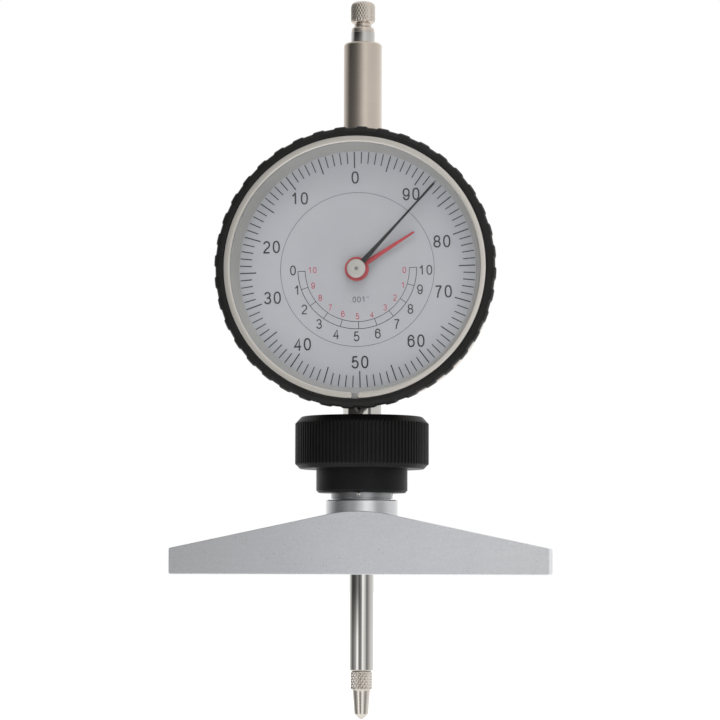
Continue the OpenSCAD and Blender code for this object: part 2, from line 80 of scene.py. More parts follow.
def finish_shading(mesh, sharp):
    mesh.polygons.foreach_set("use_smooth", [True] * len(mesh.polygons))
    mesh.set_sharp_from_angle(angle=math.radians(sharp))
    mesh.update()


def weighted(obj):
    """Lets the large flat faces keep their own normals beside the small rounded edges."""
    m = obj.modifiers.new("flat_faces", "WEIGHTED_NORMAL")
    m.keep_sharp = True
    m.weight = 80
    return obj


def rounded(points, closed=True, seg=5):
    """Points are (x, y) or (x, y, radius): a corner with a radius comes back as an arc."""
    n = len(points)
    out = []
    for i, p in enumerate(points):
        r = p[2] if len(p) > 2 else 0.0
        if r <= 0 or (not closed and i in (0, n - 1)):
            out.append((p[0], p[1]))
            continue
        a, b, c = (np.array(points[j % n][:2], dtype=float) for j in (i - 1, i, i + 1))
        u, w = a - b, c - b
        lu, lw = np.linalg.norm(u), np.linalg.norm(w)
        u, w = u / lu, w / lw
        ang = math.acos(max(-1.0, min(1.0, float(u @ w))))
        if ang > math.pi - 0.02:
            out.append((p[0], p[1]))
            continue
        d = min(r / math.tan(ang / 2), 0.49 * lu, 0.49 * lw)
        rr = d * math.tan(ang / 2)
        bis = (u + w) / np.linalg.norm(u + w)
        cen = b + bis * rr / math.sin(ang / 2)
        s, e = b + u * d - cen, b + w * d - cen
        a0, a1 = math.atan2(s[1], s[0]), math.atan2(e[1], e[0])
        da = (a1 - a0 + math.pi) % (2 * math.pi) - math.pi
        for k in range(seg + 1):
            t = a0 + da * k / seg
            out.append((cen[0] + rr * math.cos(t), cen[1] + rr * math.sin(t)))
    return out


def revolve(profile, seg=160, axis="z", shape=None, turn=0.0, closed=True):
    """Vertices and faces of a turned part. The profile is (r, h): h is z, or -y for a part on the dial's axis."""
    prof = [(max(p[0], 0.0), p[1]) for p in profile]
    th = np.arange(seg) * 2 * math.pi / seg + turn
    verts, rows = [], []
    for r, h in prof:
        if r < 1e-6:
            rows.append([len(verts)])
            verts.append((0, 0, h) if axis == "z" else (0, -h, DIAL_Z))
            continue
        rr = np.full(seg, r)
        if shape is not None:
            rr = shape(rr, np.full(seg, h), th - turn)
        rows.append(list(range(len(verts), len(verts) + seg)))
        if axis == "z":
            verts += list(zip(rr * np.cos(th), rr * np.sin(th), np.full(seg, h)))
        else:
            verts += list(zip(rr * np.cos(th), np.full(seg, -h), DIAL_Z + rr * np.sin(th)))
    faces = []
    m = len(rows)
    for i in range(m if closed else m - 1):
        a, b = rows[i], rows[(i + 1) % m]
        if len(a) == 1 and len(b) == 1:
            continue
        for j in range(seg):
            k = (j + 1) % seg
            if len(a) == 1:
                faces.append((a[0], b[j], b[k]))
            elif len(b) == 1:
                faces.append((a[j], b[0], a[k]))
            else:
                faces.append((a[j], b[j], b[k], a[k]))
    return verts, faces


def support(profile, d=0.1, longer=0.55):
    """Adds points near the ends of the long straight runs, so that their shading stays flat beside small roundings."""
    out = []
    n = len(profile)
    for i, p in enumerate(profile):
        q = profile[(i + 1) % n]
        out.append(p)
        length = math.hypot(q[0] - p[0], q[1] - p[1])
        if length > longer and not (p[0] < 1e-6 and q[0] < 1e-6):
            for t in (d / length, 1 - d / length):
                out.append((p[0] + (q[0] - p[0]) * t, p[1] + (q[1] - p[1]) * t))
    return out


def lathe(name, profile, mat, seg=160, axis="z", shape=None, turn=0.0, sharp=32.0):
    v, f = revolve(support(profile), seg, axis, shape, turn)
    return new_mesh(name, v, f, sharp, [mat])


def cutter(verts, faces):
    return new_mesh("cutter", verts, faces)


def boolean(obj, tools, op="DIFFERENCE", sharp=32.0):
    for t in tools:
        m = obj.modifiers.new("cut", "BOOLEAN")
        m.operation, m.solver, m.object = op, "EXACT", t
    bpy.context.view_layer.update()
    dg = bpy.context.evaluated_depsgraph_get()
    mesh = bpy.data.meshes.new_from_object(obj.evaluated_get(dg), preserve_all_data_layers=True, depsgraph=dg)
    mats = [m for m in obj.data.materials]
    obj.modifiers.clear()
    old = obj.data
    obj.data = mesh
    mesh.materials.clear()
    for m in mats[:1]:
        mesh.materials.append(m)
    mesh.polygons.foreach_set("material_index", [0] * len(mesh.polygons))
    bm = bmesh.new()
    bm.from_mesh(mesh)
    bmesh.ops.remove_doubles(bm, verts=bm.verts, dist=2e-7)
    bmesh.ops.recalc_face_normals(bm, faces=bm.faces)
    bm.to_mesh(mesh)
    bm.free()
    finish_shading(mesh, sharp)
    bpy.data.meshes.remove(old)
    for t in tools:
        bpy.data.objects.remove(t, do_unlink=True)
    return obj


def box_mesh(lo, hi, rot=0.0):
    c, s = math.cos(rot), math.sin(rot)
    v = []
    for x in (lo[0], hi[0]):
        for y in (lo[1], hi[1]):
            for z in (lo[2], hi[2]):
                v.append((x * c - y * s, x * s + y * c, z))
    f = [(0, 1, 3, 2), (4, 6, 7, 5), (0, 4, 5, 1), (2, 3, 7, 6), (0, 2, 6, 4), (1, 5, 7, 3)]
    return v, f


def inset(loop, d):
    """Moves a closed counter-clockwise outline inwards by d."""
    p = np.array(loop, dtype=float)
    e1 = p - np.roll(p, 1, 0)
    e2 = np.roll(p, -1, 0) - p
    n1 = np.stack([-e1[:, 1], e1[:, 0]], 1) / np.linalg.norm(e1, axis=1)[:, None]
    n2 = np.stack([-e2[:, 1], e2[:, 0]], 1) / np.linalg.norm(e2, axis=1)[:, None]
    m = (n1 + n2) / (1 + (n1 * n2).sum(1))[:, None]
    return p + m * d


def slab(loop, y0, y1, edge, seg=4):
    """A plate between y0 and y1 with rounded front and back edges. The outline is (x, z)."""
    rings = []
    for k in range(seg + 1):
        a = math.pi / 2 * (1 - k / seg)
        rings.append((y0 + edge * (1 - math.sin(a)), edge * (1 - math.cos(a))))
    for k in range(seg + 1):
        a = math.pi / 2 * k / seg
        rings.append((y1 - edge * (1 - math.sin(a)), edge * (1 - math.cos(a))))
    n = len(loop)
    verts, faces = [], []
    for y, d in rings:
        q = inset(loop, d)
        verts += [(a, y, b) for a, b in q]
    for i in range(len(rings) - 1):
        for j in range(n):
            k = (j + 1) % n
            faces.append((i * n + j, i * n + k, (i + 1) * n + k, (i + 1) * n + j))
    faces.append(list(range(n))[::-1])
    faces.append([(len(rings) - 1) * n + j for j in range(n)])
    return verts, faces


def own(piece, body, slot, *nodes):
    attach(piece, body)
    if nodes:
        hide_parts(*nodes)
    return piece


# ---------------------------------------------------------------- materials

class Shader:
    """A node material that is being put together, in the object's own coordinates (metres)."""

    def __init__(self, name):
        self.mat = bpy.data.materials.new(name)
        self.mat.use_nodes = True
        self.nt = self.mat.node_tree
        self.nt.nodes.clear()
        self.out = self.new("ShaderNodeOutputMaterial")
        self.bsdf = self.new("ShaderNodeBsdfPrincipled")
        self.link(self.bsdf.outputs[0], self.out.inputs["Surface"])
        self.pos = self.new("ShaderNodeTexCoord").outputs["Object"]

    def new(self, kind, **props):
        n = self.nt.nodes.new(kind)
        for k, v in props.items():
            setattr(n, k, v)
        return n

    def link(self, a, b):
        self.nt.links.new(a, b)

    def math(self, op, a, b=None, c=None, clamp=False):
        n = self.new("ShaderNodeMath", operation=op, use_clamp=clamp)
        for i, v in enumerate((a, b, c)):
            if v is None:
                continue
            if hasattr(v, "is_linked"):
                self.link(v, n.inputs[i])
            else:
                n.inputs[i].default_value = v
        return n.outputs[0]

    def vmath(self, op, a, b=None):
        n = self.new("ShaderNodeVectorMath", operation=op)
        for i, v in enumerate((a, b)):
            if v is None:
                continue
            if hasattr(v, "is_linked"):
                self.link(v, n.inputs[i])
            else:
                n.inputs[i].default_value = v
        return n.outputs["Value"] if op in ("LENGTH", "DOT_PRODUCT") else n.outputs["Vector"]

    def turned(self, axis="z", centre=DIAL_Z):
        """A coordinate that is the same all the way round a turned part: (radius, height, 0)."""
        if axis == "z":
            r = self.vmath("LENGTH", self.vmath("MULTIPLY", self.pos, (1, 1, 0)))
            pick = "Z"
        else:
            r = self.vmath("LENGTH", self.vmath("MULTIPLY", self.vmath("SUBTRACT", self.pos, (0, 0, centre * MM)), (1, 0, 1)))
            pick = "Y"
        s = self.new("ShaderNodeSeparateXYZ")
        self.link(self.pos, s.inputs[0])
        c = self.new("ShaderNodeCombineXYZ")
        self.link(r, c.inputs["X"])
        self.link(s.outputs[pick], c.inputs["Y"])
        return c.outputs[0]

    def noise(self, scale, vec=None, detail=3.0, rough=0.55, distort=0.0):
        n = self.new("ShaderNodeTexNoise")
        n.inputs["Detail"].default_value = detail
        n.inputs["Roughness"].default_value = rough
        n.inputs["Distortion"].default_value = distort
        if isinstance(scale, (tuple, list)):
            n.inputs["Scale"].default_value = 1.0
            self.link(self.vmath("MULTIPLY", vec or self.pos, scale), n.inputs["Vector"])
        else:
            n.inputs["Scale"].default_value = scale
            self.link(vec or self.pos, n.inputs["Vector"])
        return n.outputs["Fac"]

    def voronoi(self, scale, vec=None):
        n = self.new("ShaderNodeTexVoronoi")
        n.inputs["Scale"].default_value = scale
        self.link(vec or self.pos, n.inputs["Vector"])
        return n.outputs["Distance"]

    def ramp(self, fac, stops):
        n = self.new("ShaderNodeValToRGB")
        self.link(fac, n.inputs[0])
        el = n.color_ramp.elements
        while len(el) > 1:
            el.remove(el[-1])
        for i, (p, c) in enumerate(stops):
            if not isinstance(c, (tuple, list)):
                c = (c, c, c)
            e = el[0] if i == 0 else el.new(p)
            e.position = p
            e.color = (*c, 1.0)
        return n.outputs[0]

    def mix(self, fac, a, b, blend="MIX"):
        n = self.new("ShaderNodeMix", data_type="RGBA", blend_type=blend)
        ins = [s for s in n.inputs if s.type == "RGBA"]
        fin = [s for s in n.inputs if s.type == "VALUE"][0]
        for sock, v in ((fin, fac), (ins[0], a), (ins[1], b)):
            if hasattr(v, "is_linked"):
                self.link(v, sock)
            elif isinstance(v, (tuple, list)):
                sock.default_value = (*v, 1.0)
            else:
                sock.default_value = v
        return [s for s in n.outputs if s.type == "RGBA"][0]

    def bump(self, height, distance, normal=None, strength=1.0):
        n = self.new("ShaderNodeBump")
        n.inputs["Distance"].default_value = distance
        n.inputs["Strength"].default_value = strength
        self.link(height, n.inputs["Height"])
        if normal is not None:
            self.link(normal, n.inputs["Normal"])
        return n.outputs[0]

    def base(self, v):
        self.link(v, self.bsdf.inputs["Base Color"])

    def rough(self, v):
        self.link(v, self.bsdf.inputs["Roughness"])

    def normal(self, v):
        self.link(v, self.bsdf.inputs["Normal"])

    def const(self, **kw):
        for k, v in kw.items():
            self.bsdf.inputs[k.replace("_", " ")].default_value = v


def tint(c, k):
    return tuple(min(1.0, x * k) for x in c)


def metal(name, colour, rough, spread=0.06, axis=None, turn=(7000, 0.0012), grain=(5000, 0.0006), patch=250.0,
          rough_spread=0.06, centre=DIAL_Z, painted_shade_above=None):
    """Metal with turning marks or ground grain, fine pits, slow patches of tarnish and uneven polish."""
    s = Shader(name)
    s.const(Metallic=1.0)
    slow = s.noise(patch, detail=4.0, rough=0.6)
    fine = s.noise(grain[0], detail=2.0, rough=0.5)
    both = s.math("ADD", s.math("MULTIPLY", slow, 0.6), s.math("MULTIPLY", fine, 0.4))
    if axis:
        tc = s.turned(axis, centre)
        lines = s.noise(turn[0], tc, detail=3.0, rough=0.7)
        both = s.math("ADD", s.math("MULTIPLY", both, 0.6), s.math("MULTIPLY", lines, 0.4))
    colour_out = s.ramp(both, [(0.3, tint(colour, 1 - spread)), (0.5, colour), (0.7, tint(colour, 1 + spread))])
    if painted_shade_above:                                   # painted shade: above this height the colour is darkened, standing in for the shade under the nut's hub
        sep = s.new("ShaderNodeSeparateXYZ")
        s.link(s.pos, sep.inputs[0])
        above = s.math("GREATER_THAN", sep.outputs["Z"], painted_shade_above[0])
        colour_out = s.mix(above, colour_out, s.mix(1.0, colour_out, (painted_shade_above[1], painted_shade_above[1], painted_shade_above[1]), "MULTIPLY"))
    s.base(colour_out)
    s.rough(s.ramp(both, [(0.32, rough + rough_spread), (0.68, max(0.02, rough - rough_spread))]))
    n = s.bump(fine, grain[1] * MM)
    if axis:
        n = s.bump(lines, turn[1] * MM, n)
    s.normal(n)
    return s.mat


def bridge_steel():
    s = Shader("satin_steel")
    s.const(Metallic=1.0)
    slow = s.noise(90, detail=5.0, rough=0.65)
    mottle = s.noise(1900, detail=4.0, rough=0.62)
    hair = s.noise((180, 180, 5200), detail=2.0)
    mixv = s.math("ADD", s.math("MULTIPLY", slow, 0.3), s.math("ADD", s.math("MULTIPLY", mottle, 0.5), s.math("MULTIPLY", hair, 0.2)))
    grain = s.ramp(mixv, [(0.36, (0.88, 0.88, 0.88)), (0.5, (0.94, 0.94, 0.94)), (0.64, (1.0, 1.0, 1.0))])
    sep = s.new("ShaderNodeSeparateXYZ")
    s.link(s.pos, sep.inputs[0])
    # painted light: the colour is lighter across the middle and darker towards both ends, darkest at the left end
    painted_light_along_x = s.ramp(s.math("MULTIPLY_ADD", sep.outputs["X"], 12.5, 0.5),
                   [(0.0, (0.725, 0.73, 0.75)), (0.3, (0.83, 0.84, 0.875)), (0.46, (0.90, 0.91, 0.95)), (0.75, (0.875, 0.885, 0.92)), (1.0, (0.82, 0.825, 0.845))])
    col = s.mix(1.0, painted_light_along_x, grain, "MULTIPLY")
    spots = s.voronoi(1500)
    rare = s.noise(700, detail=1.0)
    speck = s.math("MULTIPLY", s.math("LESS_THAN", spots, 0.17), s.math("GREATER_THAN", rare, 0.62))
    s.base(s.mix(s.math("MULTIPLY", speck, 0.45), col, (0.30, 0.30, 0.31)))
    s.rough(s.ramp(mixv, [(0.35, 0.50), (0.65, 0.40)]))
    s.normal(s.bump(s.math("ADD", mottle, s.math("MULTIPLY", hair, 0.3)), 0.004 * MM))
    return s.mat


def black(name, level, rough, warm=0.0, grain=4500.0, depth=0.003, spec=0.4, axis=None):
    """Black anodised metal: fine matt grain, slightly lighter where it is rubbed."""
    s = Shader(name)
    s.const(Metallic=0.0, Specular_IOR_Level=spec)
    slow = s.noise(180, detail=4.0, rough=0.6)
    fine = s.noise(grain, detail=3.0, rough=0.6)
    both = s.math("ADD", s.math("MULTIPLY", slow, 0.5), s.math("MULTIPLY", fine, 0.5))
    c = (level * (1 + warm), level, level * (1 - warm))
    s.base(s.ramp(both, [(0.34, tint(c, 0.8)), (0.5, c), (0.68, tint(c, 1.3))]))
    s.rough(s.ramp(both, [(0.35, rough + 0.06), (0.65, rough - 0.06)]))
    n = s.bump(fine, depth * MM)
    if axis:
        lines = s.noise(5200, s.turned(axis), detail=2.0, rough=0.6)
        n = s.bump(lines, depth * 0.6 * MM, n)
    s.normal(n)
    return s.mat


def lacquer(name, colour, rough, spread=0.03, grain=9000.0, depth=0.0008, spec=0.3, patch=60.0):
    """Even printed or sprayed colour with a fine tooth."""
    s = Shader(name)
    s.const(Metallic=0.0, Specular_IOR_Level=spec)
    slow = s.noise(patch, detail=3.0)
    fine = s.noise(grain, detail=2.0)
    both = s.math("ADD", s.math("MULTIPLY", slow, 0.5), s.math("MULTIPLY", fine, 0.5))
    s.base(s.ramp(both, [(0.35, tint(colour, 1 - spread)), (0.65, tint(colour, 1 + spread))]))
    s.rough(s.ramp(fine, [(0.3, min(1.0, rough + 0.05)), (0.7, rough - 0.05)]))
    s.normal(s.bump(fine, depth * MM))
    return s.mat


def dial_enamel():
    """Silver-grey dial lacquer with a fine tooth; painted light makes it lighter towards the rim, offsetting the shade
    the bezel casts there.
    """
    s = Shader("dial_enamel")
    s.const(Metallic=0.0, Specular_IOR_Level=0.25)
    r = s.vmath("LENGTH", s.vmath("MULTIPLY", s.vmath("SUBTRACT", s.pos, (0, 0, DIAL_Z * MM)), (1, 0, 1)))
    # painted light: the colour rises from the middle to the rim, to cancel the bezel's shade near the rim
    painted_rim_light = s.ramp(s.math("MULTIPLY", r, 33.333), [(0.31, (0.303, 0.303, 0.321)), (0.583, (0.325, 0.330, 0.349)), (0.71, (0.341, 0.346, 0.370)), (0.82, (0.352, 0.357, 0.380))])
    fine = s.noise(9000, detail=2.0)
    slow = s.noise(60, detail=3.0)
    both = s.math("ADD", s.math("MULTIPLY", slow, 0.5), s.math("MULTIPLY", fine, 0.5))
    s.base(s.mix(1.0, painted_rim_light, s.ramp(both, [(0.35, 0.985), (0.65, 1.0)]), "MULTIPLY"))
    s.rough(s.ramp(fine, [(0.3, 0.6), (0.7, 0.5)]))
    s.normal(s.bump(fine, 0.0006 * MM))
    return s.mat


def crystal_glass():
    s = Shader("crystal_clear")
    s.nt.nodes.remove(s.bsdf)
    clear = s.new("ShaderNodeBsdfTransparent")
    gloss = s.new("ShaderNodeBsdfGlossy")
    haze = s.noise(140, detail=3.0)
    s.link(s.ramp(haze, [(0.4, (0.985, 0.99, 0.99)), (0.6, (0.995, 0.997, 0.996))]), clear.inputs["Color"])
    s.link(s.ramp(haze, [(0.35, 0.02), (0.65, 0.045)]), gloss.inputs["Roughness"])
    lw = s.new("ShaderNodeLayerWeight")
    lw.inputs["Blend"].default_value = 0.5
    f = s.math("POWER", lw.outputs["Facing"], 5.0)
    f = s.math("MULTIPLY_ADD", f, 0.55, 0.022, clamp=True)
    mixer = s.new("ShaderNodeMixShader")
    s.link(f, mixer.inputs[0])
    s.link(clear.outputs[0], mixer.inputs[1])
    s.link(gloss.outputs[0], mixer.inputs[2])
    s.link(mixer.outputs[0], s.out.inputs["Surface"])
    return s.mat


NICKEL = (0.665, 0.588, 0.508)
M = {
    "steel_satin": bridge_steel(),
    # the sleeve's neck above z 15.6 mm gets painted shade, in place of the shade that falls under the clamp nut's hub
    "steel_sleeve": metal("sleeve_steel", (0.65, 0.655, 0.67), 0.21, 0.04, "z", turn=(4200, 0.0008), grain=(3600, 0.0001), rough_spread=0.04, painted_shade_above=(0.0156, 0.45)),
    "steel_polished": metal("rod_steel", (0.67, 0.65, 0.62), 0.06, 0.04, "z", turn=(5200, 0.0003), grain=(3500, 0.0001), rough_spread=0.015),
    "steel_tool": metal("tool_steel", (0.42, 0.42, 0.43), 0.3, 0.08),
    "nickel": metal("nickel_plate", NICKEL, 0.21, 0.05, "z", turn=(5200, 0.0006), grain=(3600, 0.00006), rough_spread=0.04),
    "nickel_case": metal("nickel_case", tint(NICKEL, 1.02), 0.3, 0.05, "y", turn=(5200, 0.002), grain=(3600, 0.0005)),
    "nickel_bright": metal("bright_nickel", (0.70, 0.655, 0.59), 0.13, 0.06, None, grain=(5200, 0.0006), rough_spread=0.04),
    "nickel_cap": metal("cap_nickel", (0.70, 0.635, 0.56), 0.13, 0.06, None, grain=(5200, 0.0005), rough_spread=0.04),
    "nickel_tip": metal("tip_nickel", (0.73, 0.68, 0.62), 0.2, 0.06, None, grain=(5200, 0.0006), rough_spread=0.05),
    "nickel_stem": metal("stem_nickel", (0.66, 0.64, 0.60), 0.07, 0.05, "z", turn=(5200, 0.0006), grain=(3500, 0.0002), rough_spread=0.03),
    "ring": metal("ring_nickel", (0.84, 0.80, 0.74), 0.42, 0.03, "y", turn=(6500, 0.001), grain=(4200, 0.0002), rough_spread=0.05),
    "boss": metal("boss_nickel", (0.90, 0.87, 0.82), 0.36, 0.04, "y", turn=(9000, 0.0015), grain=(5200, 0.0002)),
    "brass": metal("movement_brass", (0.70, 0.50, 0.22), 0.28, 0.08, "y", turn=(3500, 0.0015), grain=(3500, 0.0008)),
    "brass_z": metal("turned_brass", (0.70, 0.50, 0.22), 0.28, 0.08, "z", turn=(4500, 0.002), grain=(3500, 0.0008)),
    "jewel": lacquer("bearing_jewel", (0.35, 0.012, 0.03), 0.12, 0.2, 2500.0, 0.0002, 0.6),
    "blued": metal("blued_steel", (0.06, 0.10, 0.28), 0.2, 0.25),
    "rubber": black("seal_rubber", 0.012, 0.75, 0.0, 2500.0, 0.01, 0.25),
    "spring": metal("spring_steel", (0.50, 0.50, 0.51), 0.25, 0.08),
    "black_anodised": black("anodised_nut", 0.0055, 0.42, 0.0, 4500.0, 0.002, 0.14, "z"),
    "black_bezel": black("anodised_bezel", 0.008, 0.42, 0.03, 5200.0, 0.0015, 0.18, "y"),
    "crystal": crystal_glass(),
    "dial_white": dial_enamel(),
    "spacer": lacquer("spacer_grey", (0.292, 0.289, 0.281), 0.5, 0.04, 5000.0, 0.002, 0.3),
    "hand_black": lacquer("hand_lacquer", (0.018, 0.018, 0.019), 0.36, 0.15, 5200.0, 0.0006, 0.25),
    "hand_red": lacquer("red_lacquer", (0.335, 0.036, 0.045), 0.36, 0.06, 5200.0, 0.001, 0.4),
    "ink_black": lacquer("dial_ink", (0.035, 0.035, 0.037), 0.6, 0.12, 6000.0, 0.001, 0.2),
    "ink_grey": lacquer("fine_ink", (0.075, 0.075, 0.08), 0.6, 0.1, 6000.0, 0.001, 0.2),
    "ink_red": lacquer("red_ink", (0.32, 0.055, 0.075), 0.6, 0.08, 6000.0, 0.001, 0.2),
}


# ---------------------------------------------------------------- bridge and clamp

def make_bridge():
    arc_r, a = 30.0, math.radians(12.8)
    top = [(arc_r * math.sin(t), -16.9 + arc_r * math.cos(t)) for t in np.linspace(a, -a, 29)]
    outline = rounded([(-39.5, 0, 0.4), (39.5, 0, 0.4), (39.5, 5.4, 0.4)] + top + [(-39.5, 5.4, 0.4)], seg=5)
    # intermediate points keep the long faces from being slivers
    loop = []
    for p, q in zip(outline, outline[1:] + outline[:1]):
        loop.append(p)
        n = int(math.hypot(q[0] - p[0], q[1] - p[1]) // 8)
        loop += [(p[0] + (q[0] - p[0]) * k / (n + 1), p[1] + (q[1] - p[1]) * k / (n + 1)) for k in range(1, n + 1)]
    v, f = slab(loop, -8, 8, 0.16, 4)
    obj = new_mesh("measuring_bridge_block", v, f, 32, [M["steel_satin"]])
    hole = [(0, -1), (3.45, -1), (3.45, 0.02), (3.2, 0.27), (3.2, 4), (6, 4), (6, 12), (7.55, 12), (7.55, 15), (0, 15)]
    hv, hf = revolve(hole, 128)
    boolean(obj, [cutter(hv, hf)])
    weighted(obj)
    return own(obj, "measuring_bridge", "steel_satin", "bridge")


def make_sleeve():
    prof = rounded([(3.2, 4), (6, 4), (6, 12), (7.55, 12), (7.55, 15.3, 0.12), (7.35, 15.5, 0.08), (6.1, 15.5), (6.1, 15.8),
                    (6.45, 15.8, 0.05), (6.45, 25.8, 0.1), (6.15, 26.1, 0.1), (5.1, 30.6, 0.05), (4.02, 30.6), (4.02, 14.6), (3.2, 14.6)], seg=3)
    obj = lathe("slotted_sleeve", prof, M["steel_sleeve"], 144)
    cuts = []
    for i in range(4):
        v, f = box_mesh((3.4, -0.35, 16.4), (8.4, 0.35, 36.4), math.radians(90 * i))
        cuts.append(cutter(v, f))
    boolean(obj, cuts)
    return own(obj, "measuring_bridge", "steel_sleeve", "collet_sleeve")


def make_nut():
    ro, ri, n = 14.0, 13.72, 101
    phase = math.radians(-90 + 1.24)

    def ribs(r, h, th):
        u = ((th - phase) * n / (2 * math.pi) + 0.5) % 1.0 - 0.5       # 0 at a crest
        u = np.abs(u)
        crest = np.clip((0.325 - u) / 0.10, 0, 1)                      # flat crest, sloped flank, flat root
        crest = crest * crest * (3 - 2 * crest)
        return np.where(h > 21.5, np.minimum(r, ri + (ro - ri) * crest), r)

    z0, z1 = 22.0, 32.9
    prof = [(6.55, 17), (9.05, 17, 0.12), (9.55, 17.5, 0.12), (9.55, 21.9), (9.7, 22.0), (12.9, 22.0), (13.1, 22.1)]
    edge = (13.3, 13.6, 13.7, 13.75, 13.8, 13.85, 13.9)
    prof += [(r, z0 + r - 12.95) for r in edge] + [(13.975, 23.0), (ro, 23.1)]
    prof += [(ro, z) for z in (25.3, 27.45, 29.6)] + [(ro, 31.4), (13.97, 31.47)] + [(r, z1 - (r - 12.66) * 1.1) for r in edge[::-1]]
    prof += [(13.1, 32.42), (12.8, 32.75), (12.62, 32.87), (12.5, 32.9), (5.25, 32.9), (5.1, 32.8), (4.6, 32.35), (4.6, 31.2), (6.55, 31.2)]
    prof = rounded(prof, seg=3)
    obj = lathe("ribbed_nut", prof, M["black_anodised"], n * 12, shape=ribs, turn=0.0, sharp=40)
    v, f = box_mesh((-0.5, -10.2, 16.5), (0.5, -8.9, 17.3))
    boolean(obj, [cutter(v, f)], sharp=40)
    return own(obj, "nut", "black_anodised", "clamp_nut")


def make_stems():
    lower = rounded([(3.3, 15), (3.7, 15, 0.1), (4, 15.3, 0.15), (4, 24), (4, 32), (4, 39.8, 0.1), (2.75, 39.8), (2.75, 18.4), (3.3, 18.4)], seg=3)
    own(lathe("lower_mounting_stem", lower, M["nickel_stem"], 144), "head", "nickel_bright", "lower_stem")
    upper = rounded([(3.25, 86.2), (4, 86.2, 0.1), (4, 90.3, 0.05), (3.7, 90.5, 0.05), (3.7, 92, 0.05), (4, 92.2, 0.05),
                     (4, 98), (4, 105), (4, 112, 1.0), (2.6, 112, 0.12), (2.6, 111), (3.25, 111)], seg=7)
    own(lathe("upper_mounting_stem", upper, M["nickel"], 144), "head", "nickel", "upper_stem")


# ---------------------------------------------------------------- case, bezel and dial

def scallop(r, h, th):
    """Outer wall of the bezel: shallow flat flutes with flat lobes between them."""
    pitch = 360.0 / LOBES
    t = np.abs((np.degrees(th) + pitch / 2) % pitch - pitch / 2)
    v = np.clip((2.65 - t) / 0.9, 0, 1)
    v = v * v * (3 - 2 * v)
    return r - 0.25 * v * np.clip((r - 27.95) / 0.6, 0, 1)


def make_bezel():
    prof = rounded([(26.55, 6.6), (27.7, 6.6, 0.2), (28.3, 7.2, 0.3), (28.65, 9, 0.8), (29.1, 13.6, 0.8), (29.1, 15.2, 0.25), (28.8, 15.9, 0.2),
                    (27.9, 16.4, 0.3), (27.28, 16.4, 0.08), (27.13, 16.2, 0.06), (27.13, 9.55), (24.9, 9.55), (24.9, 8.95), (26.55, 8.95),
                    (26.55, 8.2), (26.9, 8.2), (26.9, 7.1), (26.55, 7.1)], seg=4)
    obj = lathe("scalloped_bezel", prof, M["black_bezel"], 1200, "y", scallop, TURN, sharp=38)
    return own(obj, "bezel_and_dial", "black_bezel", "bezel")


def make_retaining_ring():
    """A split ring with rounded ends; its gap is at the bottom."""
    sec = rounded([(25.83, 15.42), (27.07, 15.42), (27.07, 16.1, 0.1), (26.02, 16.1, 0.1), (25.83, 15.96, 0.06)], seg=4)
    mid, half = 26.46, 0.65
    gap = half / 26.4
    cen = math.radians(-90 + 0.43)
    n = 480
    ang = np.concatenate([np.linspace(0, 0.02, 14)[:-1], np.linspace(0.02, 2 * math.pi - 2 * gap - 0.02, n), np.linspace(2 * math.pi - 2 * gap - 0.02, 2 * math.pi - 2 * gap, 14)[1:]])
    verts, faces = [], []
    m = len(sec)
    for t in ang:
        s = min(t, 2 * math.pi - 2 * gap - t) * 26.5
        k = 1.0 if s > 0.42 else math.sqrt(max(0.0, 1 - (1 - s / 0.42) ** 2))
        k = max(0.28 + 0.72 * k, 0.28)
        a = cen + gap + t
        for r, h in sec:
            rr = mid + (r - mid) * k
            verts.append((rr * math.cos(a), -h, DIAL_Z + rr * math.sin(a)))
    q = len(ang)
    for i in range(q - 1):
        for j in range(m):
            k2 = (j + 1) % m
            faces.append((i * m + j, i * m + k2, (i + 1) * m + k2, (i + 1) * m + j))
    faces.append(list(range(m)))
    faces.append([(q - 1) * m + j for j in range(m)][::-1])
    obj = new_mesh("split_ring", verts, faces, 30, [M["ring"]])
    return own(obj, "bezel_and_dial", "nickel_bright", "retaining_ring")


def make_crystal_and_spacer():
    c = rounded([(0, 14.4), (27.03, 14.4, 0.05), (27.07, 14.5), (27.07, 15.2), (26.9, 15.4), (0, 15.4)], seg=2)
    own(lathe("dial_crystal", c, M["crystal"], 192, "y"), "bezel_and_dial", "crystal", "crystal")
    s = rounded([(24.65, 10.07), (27.07, 10.07), (27.07, 14.39), (25.88, 14.39, 0.08), (24.72, 10.3, 0.05)], seg=3)
    own(lathe("dial_spacer", s, M["spacer"], 256, "y"), "bezel_and_dial", "spacer", "spacer_ring")


